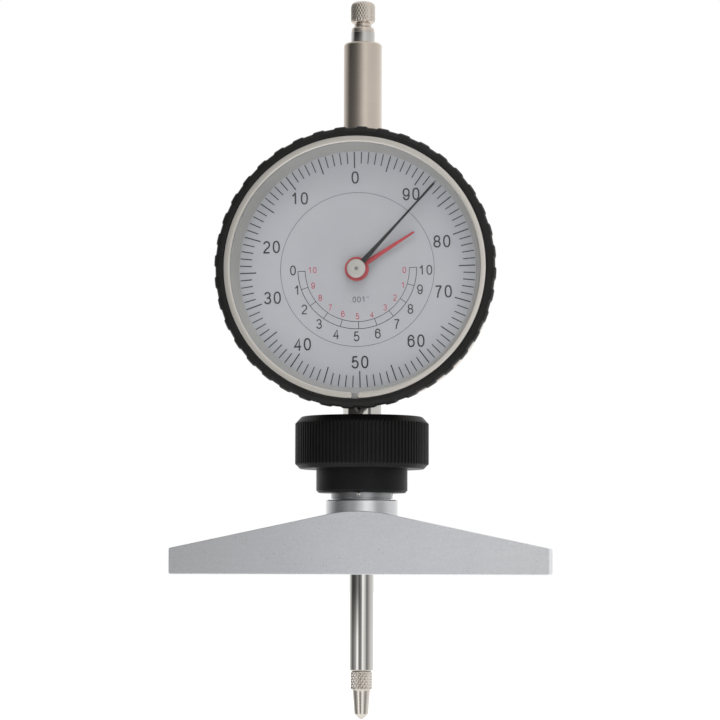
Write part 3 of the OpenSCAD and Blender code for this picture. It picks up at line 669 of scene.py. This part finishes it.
class Print:
    """Ink on the dial: thin strips, each a little proud of the dial face."""

    def __init__(self):
        self.v, self.f, self.mi, self.k = [], [], [], 0

    def strip(self, pts, width, mat=0, closed=False, height=0.016):
        p = np.array(pts, dtype=float)
        n = len(p)
        if closed:
            prev, nxt = np.roll(p, 1, 0), np.roll(p, -1, 0)
        else:
            prev, nxt = np.vstack([2 * p[0] - p[1], p[:-1]]), np.vstack([p[1:], 2 * p[-1] - p[-2]])
        e1, e2 = p - prev, nxt - p
        e1 /= np.linalg.norm(e1, axis=1)[:, None]
        e2 /= np.linalg.norm(e2, axis=1)[:, None]
        n1, n2 = np.stack([-e1[:, 1], e1[:, 0]], 1), np.stack([-e2[:, 1], e2[:, 0]], 1)
        m = (n1 + n2) / np.maximum(1 + (n1 * n2).sum(1), 0.35)[:, None]
        left, right = p + m * width / 2, p - m * width / 2
        self.k = (self.k + 1) % 8
        y0, y1 = -10.048, -10.05 - height - 0.0014 * self.k
        c, s = math.cos(TURN), math.sin(TURN)
        b = len(self.v)
        for y in (y0, y1):
            for row in (left, right):
                for x, z in row:
                    self.v.append((x * c - z * s, y, DIAL_Z + x * s + z * c))
        lb, rb, lt, rt = b, b + n, b + 2 * n, b + 3 * n
        span = n if closed else n - 1
        new = []
        for i in range(span):
            j = (i + 1) % n
            new += [(lt + i, rt + i, rt + j, lt + j), (lb + i, lb + j, rb + j, rb + i),
                    (lb + i, lt + i, lt + j, lb + j), (rb + i, rb + j, rt + j, rt + i)]
        if not closed:
            e = n - 1
            new += [(lb, rb, rt, lt), (lb + e, lt + e, rt + e, rb + e)]
        self.f += new
        self.mi += [mat] * len(new)

    def build(self, name, mats):
        return new_mesh(name, self.v, self.f, 30, mats, self.mi)


def ell(cx, cz, rx, rz, a0, a1, n=18, power=1.0):
    out = []
    for t in np.linspace(math.radians(a0), math.radians(a1), n):
        c, s = math.cos(t), math.sin(t)
        out.append((cx + rx * math.copysign(abs(c) ** power, c), cz + rz * math.copysign(abs(s) ** power, s)))
    return out


def bez(a, b, c, d, n=8):
    t = np.linspace(0, 1, n)[:, None]
    a, b, c, d = (np.array(p, dtype=float) for p in (a, b, c, d))
    return [tuple(q) for q in (1 - t) ** 3 * a + 3 * (1 - t) ** 2 * t * b + 3 * (1 - t) * t * t * c + t ** 3 * d]


def glyph(d, w):
    """Centre lines of a plain sans figure in a box w wide and 1 high. Each is (points, closed)."""
    h = w / 2
    if d == "0":
        return [(ell(h, 0.5, h, 0.5, 90, 450, 45, 0.86)[:-1], True)]
    if d == "1":
        return [([(0.62 * w, 0), (0.62 * w, 1.06)], False), (bez((0.10 * w, 0.735), (0.32 * w, 0.80), (0.50 * w, 0.90), (0.60 * w, 1.03), 7), False)]
    if d == "2":
        top = ell(h, 0.725, h * 0.97, 0.275, 168, -22, 20)
        return [(top + bez(top[-1], (0.86 * w, 0.42), (0.16 * w, 0.30), (0.0, 0.0), 9)[1:], False), ([(-0.04, 0), (w, 0)], False)]
    if d == "3":
        return [(ell(h * 0.96, 0.75, h * 0.9, 0.25, 165, -90, 22) + [(0.34 * w, 0.5)], False),
                (ell(h * 0.98, 0.265, h * 1.0, 0.265, 88, -166, 24), False)]
    if d == "4":
        return [([(0.77 * w, -0.06), (0.77 * w, 1.0), (0.0, 0.29), (1.08 * w, 0.29)], False)]
    if d == "5":
        return [([(0.93 * w, 1.0), (0.22 * w, 1.0), (0.075 * w, 0.47)], False),
                (bez((0.075 * w, 0.47), (0.2 * w, 0.60), (0.36 * w, 0.64), (0.5 * w, 0.64), 7)[:-1] + ell(h * 0.98, 0.32, h * 1.02, 0.32, 90, -164, 22), False)]
    if d == "6":
        return [(ell(h, 0.325, h, 0.325, 90, 450, 36)[:-1], True), (ell(h, 0.5, h, 0.5, 178, 22, 22, 0.9), False)]
    if d == "7":
        return [([(0.0, 1.0), (w, 1.0)], False), (bez((w, 1.0), (0.62 * w, 0.68), (0.40 * w, 0.38), (0.33 * w, -0.06), 11), False)]
    if d == "8":
        return [(ell(h, 0.752, h * 0.87, 0.248, 90, 450, 34)[:-1], True), (ell(h, 0.262, h, 0.262, 90, 450, 34)[:-1], True)]
    if d == "9":
        return [([(w - x, 1 - z) for x, z in pts], c) for pts, c in glyph("6", w)]
    return [([(h, -0.04), (h, 0.10)], False)]                                     # a point


def figures(pr, text, x, z, height, stroke, mat=0, pitch=0.777, tight=1.0):
    """Writes plain figures, their ink centred at (x, z) in the dial's own frame."""
    hc = height - stroke
    w = (0.585 * height - stroke) / hc * tight
    lines = []
    pen = 0.0
    for ch in text:
        adv = pitch * height * (0.45 if ch == "." else 1.0)
        for pts, closed in glyph(ch, w):
            lines.append(([(pen + (adv - w * hc) / 2 + a * hc, b * hc) for a, b in pts], closed))
        pen += adv
    xs = [p[0] for pts, _ in lines for p in pts]
    mx = (min(xs) + max(xs)) / 2
    for pts, closed in lines:
        pr.strip([(a - mx + x, b - hc / 2 + z) for a, b in pts], stroke, mat, closed)


def make_dial():
    d = rounded([(1.9, 9.55), (27.08, 9.55), (27.08, 10.05), (1.9, 10.05, 0.06)], seg=2)
    rings = []
    for p in d:
        rings.append(p)
    own(lathe("dial_face", rings, M["dial_white"], 256, "y"), "bezel_and_dial", "dial_white", "dial_plate")

    pr = Print()
    for i in range(100):
        a = math.radians(90 - i * 3.6)
        inner = 24.5 - (3.4 if i % 5 == 0 else 2.45)
        wide = 0.235 if i % 5 == 0 else 0.2
        c, s = math.cos(a), math.sin(a)
        pr.strip([(inner * c, inner * s), (24.5 * c, 24.5 * s)], wide, 0)
    pr.strip([(16.0 * math.cos(t), 16.0 * math.sin(t)) for t in np.arange(240) * 2 * math.pi / 240], 0.09, 1, True)
    for r in (12.35, 10.85):
        pr.strip([(r * math.cos(t), r * math.sin(t)) for t in np.linspace(math.pi, 2 * math.pi, 91)], 0.13 if r > 12 else 0.11, 0)
    for i in range(11):
        a = math.pi + i * math.pi / 10
        pr.strip([(10.82 * math.cos(a), 10.82 * math.sin(a)), (12.38 * math.cos(a), 12.38 * math.sin(a))], 0.12, 0)
    own(pr.build("dial_lines", [M["ink_black"], M["ink_grey"]]), "bezel_and_dial", "dial_white")

    pb = Print()
    for text, x, z in (("0", 0.06, 19.16), ("10", -11.61, 15.22), ("20", -17.83, 5.29), ("30", -17.83, -5.31), ("40", -11.77, -15.19),
                       ("50", 0.08, -19.28), ("60", 11.82, -15.25), ("70", 17.75, -5.23), ("80", 17.73, 5.18), ("90", 11.6, 15.25)):
        figures(pb, text, x, z, 2.6, 0.32)
    for text, x, z in (("0", -13.4, 0.26), ("1", -12.77, -3.91), ("2", -11.24, -7.95), ("3", -8.23, -11.07), ("4", -4.7, -13.33), ("5", -0.49, -13.92),
                       ("6", 3.95, -13.47), ("7", 7.94, -11.64), ("8", 10.84, -8.61), ("9", 12.92, -4.62), ("10", 14.23, -0.65)):
        figures(pb, text, x, z, 2.05, 0.24)
    figures(pb, ".001", -0.1, -6.27, 1.2, 0.12, pitch=0.80)
    for k in (-0.13, 0.13):
        pb.strip([(2.02 + k, -5.72), (2.02 + k, -6.02)], 0.09)
    own(pb.build("dial_numbers_black", [M["ink_black"]]), "bezel_and_dial", "dial_white")

    pd = Print()
    for text, x, z in (("10", -9.32, 0.17), ("9", -9.28, -3.06), ("8", -7.84, -5.63), ("7", -5.81, -7.73), ("6", -3.22, -9.17), ("5", -0.19, -9.75),
                       ("4", 2.83, -9.53), ("3", 5.59, -8.09), ("2", 7.68, -6.15), ("1", 9.36, -3.6), ("0", 9.78, -0.5)):
        figures(pd, text, x, z, 1.29, 0.15)
    own(pd.build("dial_numbers_red", [M["ink_red"]]), "bezel_and_dial", "dial_white")


def hand_plate(disc, hole, blade, angle, y0, y1, edge, seg=72):
    """A flat hand: a disc and a tapered blade, with softened front edges. blade is [(distance, half width)]."""
    def outline(d):
        pts = []
        rd = disc - d
        x0, w0 = blade[0]
        start = math.asin(min(0.99, (w0 - d) / rd))
        side = [(rd * math.cos(start), rd * math.sin(start))]
        for x, w in blade[1:]:
            side.append((x, max(w - d, 0.02)))
        side.append((blade[-1][0] + 0.12 - d, 0.0))
        pts = side + [(a, -b) for a, b in reversed(side[:-1])]
        for t in np.linspace(-start, start - 2 * math.pi, seg)[1:-1]:
            pts.append((rd * math.cos(t), rd * math.sin(t)))
        return pts[::-1]
    base = outline(0.0)
    n = len(base)
    ths = [math.atan2(b, a) for a, b in base]
    layers = [(y0, 0.0), (y1 + edge, 0.0), (y1 + edge * 0.35, edge * 0.35), (y1, edge)]
    ca, sa = math.cos(math.radians(90 - angle)), math.sin(math.radians(90 - angle))
    verts, faces = [], []

    def put(a, b, y):
        verts.append((a * ca - b * sa, y, DIAL_Z + a * sa + b * ca))
    for y, d in layers:
        for a, b in outline(d):
            put(a, b, y)
    for y in (y0, y1):
        for t in ths:
            put(hole * math.cos(t), hole * math.sin(t), y)
    L = len(layers)
    for i in range(L - 1):
        for j in range(n):
            k = (j + 1) % n
            faces.append((i * n + j, i * n + k, (i + 1) * n + k, (i + 1) * n + j))
    hb, ht = L * n, (L + 1) * n
    for j in range(n):
        k = (j + 1) % n
        faces.append((j, hb + j, hb + k, k))
        faces.append(((L - 1) * n + j, (L - 1) * n + k, ht + k, ht + j))
        faces.append((hb + j, ht + j, ht + k, hb + k))
    return verts, faces


def make_hands():
    v, f = hand_plate(1.7, 0.8, [(1.6, 0.59), (4, 0.49), (6.2, 0.38), (9, 0.315), (12.5, 0.25), (16, 0.215), (20, 0.18), (20.6, 0.23), (23.8, 0.23)], 42.4, -11.72, -11.9, 0.05)
    own(new_mesh("main_hand_blade", v, f, 30, [M["hand_black"]]), "centre", "hand_black", "main_hand")
    v, f = hand_plate(2.5, 0.9, [(2.4, 0.515), (6, 0.42), (10, 0.315), (14.04, 0.2)], 57.4, -10.8, -11.0, 0.05)
    red = new_mesh("counter_hand_blade", v, f, 30, [M["hand_red"]])
    tv, tf = revolve([(0.9, 10.35), (1.3, 10.35), (1.3, 11.02), (1.27, 11.05), (0.9, 11.05)], 72, "y")
    boolean(red, [cutter(tv, tf)], "UNION", 30)
    own(red, "counter_dial_hand", "hand_red", "counter_hand")
    boss = rounded([(0.4, 11.4), (0.8, 11.4), (0.8, 11.9), (1.94, 11.9, 0.04), (1.94, 12.28, 0.12), (1.78, 12.42, 0.1), (0.64, 12.44, 0.04),
                    (0.58, 12.3, 0.03), (0.46, 12.3, 0.03), (0.4, 12.36)], seg=3)
    own(lathe("hand_hub", boss, M["boss"], 96, "y"), "centre", "nickel_bright", "hand_boss")


def make_back():
    """Back cover with its four counterbored holes."""
    prof = rounded([(0, 6.8), (24.5, 6.8, 0.1), (24.5, 8.0), (27.0, 8.0), (26.5, 8.5, 0.08), (26.5, 9.2, 0.25), (0, 9.2)], seg=4)
    prof = [(r, -h) for r, h in prof]
    obj = lathe("back_plate", prof, M["nickel_case"], 224, "y")
    cuts = []
    for a in (40, 140, 220, 320):
        cx, cz = 22.8 * math.cos(math.radians(a)), 22.8 * math.sin(math.radians(a))
        hv, hf = revolve([(0, -5), (1.1, -5), (1.1, -8.3), (2.0, -8.3), (2.0, -9.05), (2.2, -9.25), (2.2, -11), (0, -11)], 48, "y")
        cuts.append(cutter([(x + cx, y, z + cz) for x, y, z in hv], hf))
    boolean(obj, cuts)
    own(obj, "head", "nickel", "back_cover")


def refine(node, piece, mat, body, slot, width=0.12, angle=35.0):
    """A finer version of a CAD solid: its flat faces whole, its hard edges softly broken."""
    src = NODES[node]
    bm = bmesh.new()
    bm.from_mesh(src.data)
    bmesh.ops.remove_doubles(bm, verts=bm.verts, dist=1e-6)
    bmesh.ops.dissolve_limit(bm, angle_limit=math.radians(0.6), verts=bm.verts, edges=bm.edges)
    edges = [e for e in bm.edges if len(e.link_faces) == 2 and e.calc_face_angle(0) > math.radians(angle)]
    bmesh.ops.bevel(bm, geom=edges, offset=width * MM, segments=2, profile=0.5, affect="EDGES", clamp_overlap=True)
    bmesh.ops.recalc_face_normals(bm, faces=bm.faces)
    mesh = bpy.data.meshes.new(piece)
    bm.to_mesh(mesh)
    bm.free()
    mesh.materials.clear()
    mesh.materials.append(mat)
    mesh.polygons.foreach_set("material_index", [0] * len(mesh.polygons))
    finish_shading(mesh, 28)
    obj = to_object(piece, mesh)
    weighted(obj)
    return own(obj, body, slot, node)


# ---------------------------------------------------------------- spindle

def tri(x):
    return 1 - np.abs(2 * (x - np.floor(x)) - 1)


def knurl(n, lattice, z0, z1, r_out, depth, reach=0.32):
    """Diamond knurling between z0 and z1, cut into a rod of radius r_out."""
    def shape(r, h, th):
        u = n * th / (2 * math.pi)
        w = h / lattice
        hgt = np.minimum(tri(u + w), tri(u - w))
        hgt = np.clip(hgt * 1.25, 0, 1) ** 0.8
        fade = np.clip(np.minimum(h - z0, z1 - h) / 0.12, 0, 1)
        d = depth * (1 - hgt) * fade
        return np.where((h > z0) & (h < z1) & (r > r_out - reach), r - d * np.clip((r - r_out + reach) / 0.2, 0, 1), r)
    return shape


def make_spindle():
    prof = [(0, -20.1), (2.1, -20.1, 0.06), (2.5, -19.8, 0.1)] + [(2.5, z) for z in range(-16, 113, 8)] + [(2.5, 114.3, 0.05), (0, 114.3)]
    obj = lathe("measuring_rod", rounded(prof, seg=3), M["steel_polished"], 128)
    pitch, t = 1.27, 0.2875
    z0, tip, root, xr = 53.3864 + 3.5 * 1.27, 0.14612, 0.46658, -1.41276
    teeth = [(-3, z0 - tip)]
    for i in range(31):
        zc = z0 - i * pitch
        teeth += [(-2.1, zc - tip), (xr, zc - root), (xr, zc - pitch + root), (-2.1, zc - pitch + tip)]
    teeth.append((-3, z0 - 31 * pitch + tip))
    n = len(teeth)
    verts = [(x, -3, z) for x, z in teeth] + [(x, 3, z) for x, z in teeth]
    faces = [list(range(n)), [n + j for j in range(n)][::-1]] + [(j, n + j, n + (j + 1) % n, (j + 1) % n) for j in range(n)]
    cuts = [cutter(verts, faces)]
    for a, b in ((-21.5, -14.0), (110.9, 116.0)):
        cuts.append(cutter(*revolve([(0, a), (1.26, a), (1.26, b), (0, b)], 48)))
    pv, pf = revolve([(0, 0.2), (0.6, 0.2), (0.6, 4.2), (0, 4.2)], 32)
    cuts.append(cutter([(z, y, 46 + x) for x, y, z in pv], pf))
    boolean(obj, cuts)
    return own(obj, "spindle_assembly", "steel_polished", "spindle")


def make_cap():
    zk0, zk1 = 116.62, 120.75
    prof = [(0, 111.3), (1.25, 111.3), (1.25, 114.3), (2.36, 114.3, 0.03), (2.44, 114.4, 0.05), (2.41, 114.7, 0.1), (2.38, 115.05, 0.1), (2.25, 115.27, 0.1),
            (2.0, 115.47, 0.1), (1.82, 115.6, 0.1), (1.8, 115.8, 0.1), (1.8, 116.1, 0.05), (2.12, 116.32, 0.05), (2.4, 116.55, 0.08), (2.52, 116.9, 0.1), (2.57, 117.15)]
    prof = rounded(prof, closed=False, seg=3)
    prof += [(2.57, z) for z in np.arange(117.2, 119.7, 0.05)]
    prof += [(2.565, 119.75), (2.55, 119.9), (2.52, 120.05), (2.485, 120.17), (2.44, 120.27), (2.38, 120.37), (2.31, 120.46), (2.23, 120.55), (2.12, 120.64),
             (1.98, 120.725), (1.8, 120.8), (1.58, 120.87), (1.1, 120.97), (0.6, 121.02), (0, 121.04)]
    obj = lathe("knurled_cap", prof, M["nickel_cap"], 300, shape=knurl(27, 1.12, zk0, zk1, 2.57, 0.12, 0.75), sharp=50)
    return own(obj, "spindle_assembly", "nickel_bright", "lifting_cap")


def make_contact():
    top = [(0, -14.6), (1.25, -14.6), (1.25, -20.1), (2.0, -20.1, 0.05), (2.18, -20.22), (2.28, -20.36)]
    prof = rounded(top, closed=False, seg=3)
    prof += [(2.28, z) for z in np.arange(-20.42, -23.66, -0.05)]
    low = [(2.28, -23.68), (2.2, -23.8), (2.08, -23.88), (1.97, -23.9, 0.04), (1.9, -24.1, 0.1), (1.83, -24.4, 0.2), (1.5, -28.57, 0.5), (1.42, -28.99, 0.3),
           (1.03, -29.4, 0.3), (0.61, -29.82, 0.3), (0.3, -30.02, 0.2), (0, -30.1)]
    prof += rounded(low, closed=False, seg=5)
    obj = lathe("contact_tip", prof, M["nickel_tip"], 288, shape=knurl(17, 1.12, -23.72, -20.28, 2.28, 0.28, 0.32), sharp=50)
    return own(obj, "spindle_assembly", "nickel_bright", "contact_point")


def make_spring():
    """Coil spring round the spindle."""
    turns, z0, z1, rc, rw = 24, 61.22, 106.48, 2.82, 0.2
    per, m = 28, 8
    n = turns * per
    verts, faces = [], []
    for i in range(n + 1):
        t = i / n
        a = 2 * math.pi * turns * t
        z = z0 + (z1 - z0) * t
        for j in range(m):
            b = 2 * math.pi * j / m
            verts.append(((rc + rw * math.cos(b)) * math.cos(a), (rc + rw * math.cos(b)) * math.sin(a), z + rw * math.sin(b)))
    for i in range(n):
        for j in range(m):
            k = (j + 1) % m
            faces.append((i * m + j, i * m + k, (i + 1) * m + k, (i + 1) * m + j))
    faces.append(list(range(m)))
    faces.append([n * m + j for j in range(m)][::-1])
    obj = new_mesh("coil_spring", verts, faces, 60, [M["spring"]])
    own(obj, "head", "spring", "return_spring")
    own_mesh(obj)
    return obj


make_bridge()
make_sleeve()
make_nut()
make_stems()
make_bezel()
make_retaining_ring()
make_crystal_and_spacer()
make_dial()
make_hands()
make_back()
make_spindle()
make_cap()
make_contact()
make_spring()
refine("case_ring", "case_wall", M["nickel_case"], "head", "nickel", 0.12)
refine("cover_screws", "cover_screw_heads", M["steel_tool"], "head", "steel_tool", 0.06)

# the movement and the other inside parts keep their CAD shapes
FINISH = {
    "clamp_ring": "brass_z", "cover_seal": "rubber", "lower_bush": "brass_z", "upper_bush": "brass_z", "rear_plate": "brass", "front_plate": "brass",
    "plate_pillars": "brass", "plate_screws": "blued", "arbor_cock": "brass", "cock_screws": "blued", "plate_bushes": "jewel",
    "guide_rail": "steel_tool", "rail_screws": "blued", "hairspring": "blued", "hairspring_stud": "brass", "bezel_wire": "spring",
    "guide_pin": "steel_tool", "spring_collar": "steel_tool", "rack_pinion": "steel_tool", "drive_wheel": "brass", "centre_arbor": "steel_tool",
    "takeup_arbor": "steel_tool", "takeup_wheel": "brass", "counter_arbor": "steel_tool", "counter_wheel": "brass", "counter_pipe": "brass",
    "counter_pipe_wheel": "brass",
}
for node, finish in FINISH.items():
    obj = NODES[node]
    if not obj.data.materials:
        obj.data.materials.append(M[finish])
    for sl in obj.material_slots:
        sl.material = M[finish]


# ---------------------------------------------------------------- studio

def emission(name, strength, colour=(1, 1, 1)):
    mat = bpy.data.materials.new(name)
    mat.use_nodes = True
    nt = mat.node_tree
    nt.nodes.clear()
    out = nt.nodes.new("ShaderNodeOutputMaterial")
    em = nt.nodes.new("ShaderNodeEmission")
    em.inputs["Color"].default_value = (*colour, 1)
    em.inputs["Strength"].default_value = strength
    nt.links.new(em.outputs[0], out.inputs["Surface"])
    return mat, nt, em


def make_floor():
    s = Shader("pale_floor")
    s.const(Metallic=0.0, Specular_IOR_Level=0.0, Emission_Strength=0.45)
    fac = s.noise(3.0, detail=2.0)
    s.base(s.ramp(fac, [(0.4, (0.88, 0.88, 0.88)), (0.6, (0.92, 0.92, 0.92))]))
    s.bsdf.inputs["Roughness"].default_value = 1.0
    s.bsdf.inputs["Emission Color"].default_value = (1, 1, 1, 1)
    mesh = bpy.data.meshes.new("floor")
    n, size = 8, 6.0
    vs = [((i / n - 0.5) * size, (j / n - 0.5) * size, -0.0302) for j in range(n + 1) for i in range(n + 1)]
    fs = [(j * (n + 1) + i, j * (n + 1) + i + 1, (j + 1) * (n + 1) + i + 1, (j + 1) * (n + 1) + i) for j in range(n) for i in range(n)]
    mesh.from_pydata(vs, [], fs)
    mesh.materials.append(s.mat)
    obj = to_object("floor", mesh)
    obj.visible_glossy = False
    return obj


# What the polished parts reflect: a round light tent with darker and brighter panels in it.
# One row for each height: (azimuth from the camera's side, brightness), 0 faces the camera, positive is to its right.
LOW = [(-180, 1.05), (-134, 0.9), (-120, 0.6), (-107, 0.25), (-92, 0.17), (-78, 0.28), (-64, 0.45), (-53, 0.62), (-42, 1.65), (-32, 0.85), (-21, 0.2),
       (-11, 0.28), (-1, 0.36), (8, 1.38), (18, 1.05), (29, 0.84), (39, 0.62), (49, 0.24), (60, 0.31), (71, 0.46), (83, 0.62), (95, 0.81), (110, 0.86),
       (129, 0.95), (180, 1.05)]
BASE = [(-180, 1.0), (-134, 0.88), (-120, 0.55), (-107, 0.14), (-92, 0.055), (-78, 0.07), (-64, 0.09), (-53, 0.14), (-42, 0.3), (-32, 0.21), (-21, 0.09),
        (-11, 0.2), (-1, 0.3), (8, 1.25), (18, 1.25), (29, 0.84), (39, 0.6), (49, 0.19), (60, 0.27), (71, 0.44), (83, 0.58), (95, 0.74),
        (110, 0.79), (129, 0.91), (180, 1.05)]
COLLAR = [(-180, 1.32), (-132, 0.801), (-112, 0.481), (-97, 0.27), (-83, 0.216), (-71, 0.234), (-60, 0.295), (-49, 0.308), (-39, 0.385),
          (-29, 0.49), (-19, 0.729), (-9, 1.036), (0, 1.169), (9, 1.162), (19, 1.213), (29, 1.154), (39, 0.94), (49, 0.673), (60, 0.529),
          (71, 0.574), (83, 0.747), (97, 0.873), (112, 0.911), (132, 0.963), (180, 1.21)]
STEM = [(-180, 0.9), (-95, 0.9), (-90, 0.03), (3, 0.03), (7, 0.9), (34, 0.9), (38, 0.15), (52, 0.15), (56, 0.78), (180, 0.78)]
TOP = [(-180, 0.95), (-146, 0.75), (-121, 0.5), (-103, 0.24), (-92, 0.1), (-75, 0.12), (-61, 0.15), (-52, 0.175), (-41, 0.225), (-31, 0.3), (-21, 0.42), (-11, 0.58),
       (-1, 0.72), (9, 0.88), (19, 0.88), (29, 0.78), (39, 0.75), (73, 0.73), (100, 0.8), (117, 0.87), (140, 1.0), (180, 1.0)]
CAP = [(-180, 0.95), (-124, 0.72), (-106, 0.45), (-94, 0.18), (-84, 0.02), (-42, 0.03), (-33, 0.09), (-25, 0.12), (-15, 0.25), (-6, 0.45), (4, 0.66),
       (14, 0.78), (33, 0.74), (50, 0.66), (80, 0.68), (110, 0.78), (130, 0.85), (180, 1.0)]
ROWS = [(-0.2, LOW), (-0.1, LOW), (-0.05, LOW), (-0.021, LOW), (-0.006, BASE), (0.0, BASE), (0.010, COLLAR), (0.036, COLLAR),
        (0.046, STEM), (0.065, STEM), (0.074, TOP), (0.11, TOP), (0.166, TOP), (0.169, CAP), (0.2, CAP), (0.21, TOP), (0.29, TOP), (0.36, TOP)]


def make_tent():
    mat, nt, em = emission("tent_cloth", 1.0)
    at = nt.nodes.new("ShaderNodeAttribute")
    at.attribute_name = "glow"
    nt.links.new(at.outputs["Fac"], em.inputs["Strength"])
    n, radius = 360, 0.30
    verts, glow, faces = [], [], []
    for h, row in ROWS:
        row = np.array(row, dtype=float)
        for i in range(n):
            a = (i + 180) % 360 - 180
            psi = math.radians(a + 6.2)
            verts.append((radius * math.sin(psi), -radius * math.cos(psi), h))
            glow.append(float(np.interp(a, row[:, 0], row[:, 1])))
    for j in range(len(ROWS) - 1):
        for i in range(n):
            k = (i + 1) % n
            faces.append((j * n + i, j * n + k, (j + 1) * n + k, (j + 1) * n + i))
    top = len(ROWS) - 1
    verts.append((0, 0, ROWS[-1][0]))
    glow.append(0.8)
    for i in range(n):
        faces.append((top * n + i, top * n + (i + 1) % n, len(verts) - 1))
    mesh = bpy.data.meshes.new("light_tent")
    mesh.from_pydata(verts, [], faces)
    attr = mesh.attributes.new("glow", "FLOAT", "POINT")
    attr.data.foreach_set("value", glow)
    mesh.materials.append(mat)
    mat.cycles.emission_sampling = "NONE"
    obj = to_object("light_tent", mesh)
    obj.visible_camera = False
    obj.visible_diffuse = False
    obj.visible_shadow = False
    obj.visible_transmission = False
    return obj


def area(name, az, el, dist, size, power, target=(0, 0, 0.045), glossy=True):
    a, e = math.radians(az), math.radians(el)
    d = Vector((math.sin(a) * math.cos(e), -math.cos(a) * math.cos(e), math.sin(e)))
    light = bpy.data.lights.new(name, "AREA")
    light.shape = "RECTANGLE"
    light.size, light.size_y = size
    light.energy = power
    obj = bpy.data.objects.new(name, light)
    obj.location = Vector(target) + d * dist
    obj.rotation_euler = (-d).to_track_quat("-Z", "Y").to_euler()
    obj.visible_glossy = glossy
    SCENE.collection.objects.link(obj)
    return obj


def make_world():
    world = bpy.data.worlds.new("studio")
    world.use_nodes = True
    bg = world.node_tree.nodes["Background"]
    bg.inputs[0].default_value = (1, 1, 1, 1)
    bg.inputs[1].default_value = 1.0
    SCENE.world = world
    SCENE.view_settings.view_transform = "Standard"
    SCENE.view_settings.look = "None"


def make_camera():
    yaw, pitch, roll = 0.10877, 0.0718, 0.0026
    fwd = Vector((-math.sin(yaw) * math.cos(pitch), math.cos(yaw) * math.cos(pitch), math.sin(pitch)))
    right = Vector((math.cos(yaw), math.sin(yaw), 0))
    up = right.cross(fwd)
    r2 = right * math.cos(roll) + up * math.sin(roll)
    u2 = up * math.cos(roll) - right * math.sin(roll)
    cam = bpy.data.cameras.new("camera")
    cam.sensor_fit = "AUTO"
    cam.sensor_width = 36.0
    cam.lens = 2881.2 / 720 * 36.0
    cam.clip_start = 0.02
    cam.clip_end = 50.0
    cam.dof.use_dof = False
    obj = bpy.data.objects.new("camera", cam)
    m = Matrix((r2, u2, -fwd)).transposed().to_4x4()
    m.translation = Vector((65.06, -600.0, 1.5)) * MM
    obj.matrix_world = m
    SCENE.collection.objects.link(obj)
    SCENE.camera = obj


make_floor()
make_tent()
make_world()
area("top_softbox", 20, 62, 0.9, (0.7, 0.5), 6.0, glossy=False)
make_camera()

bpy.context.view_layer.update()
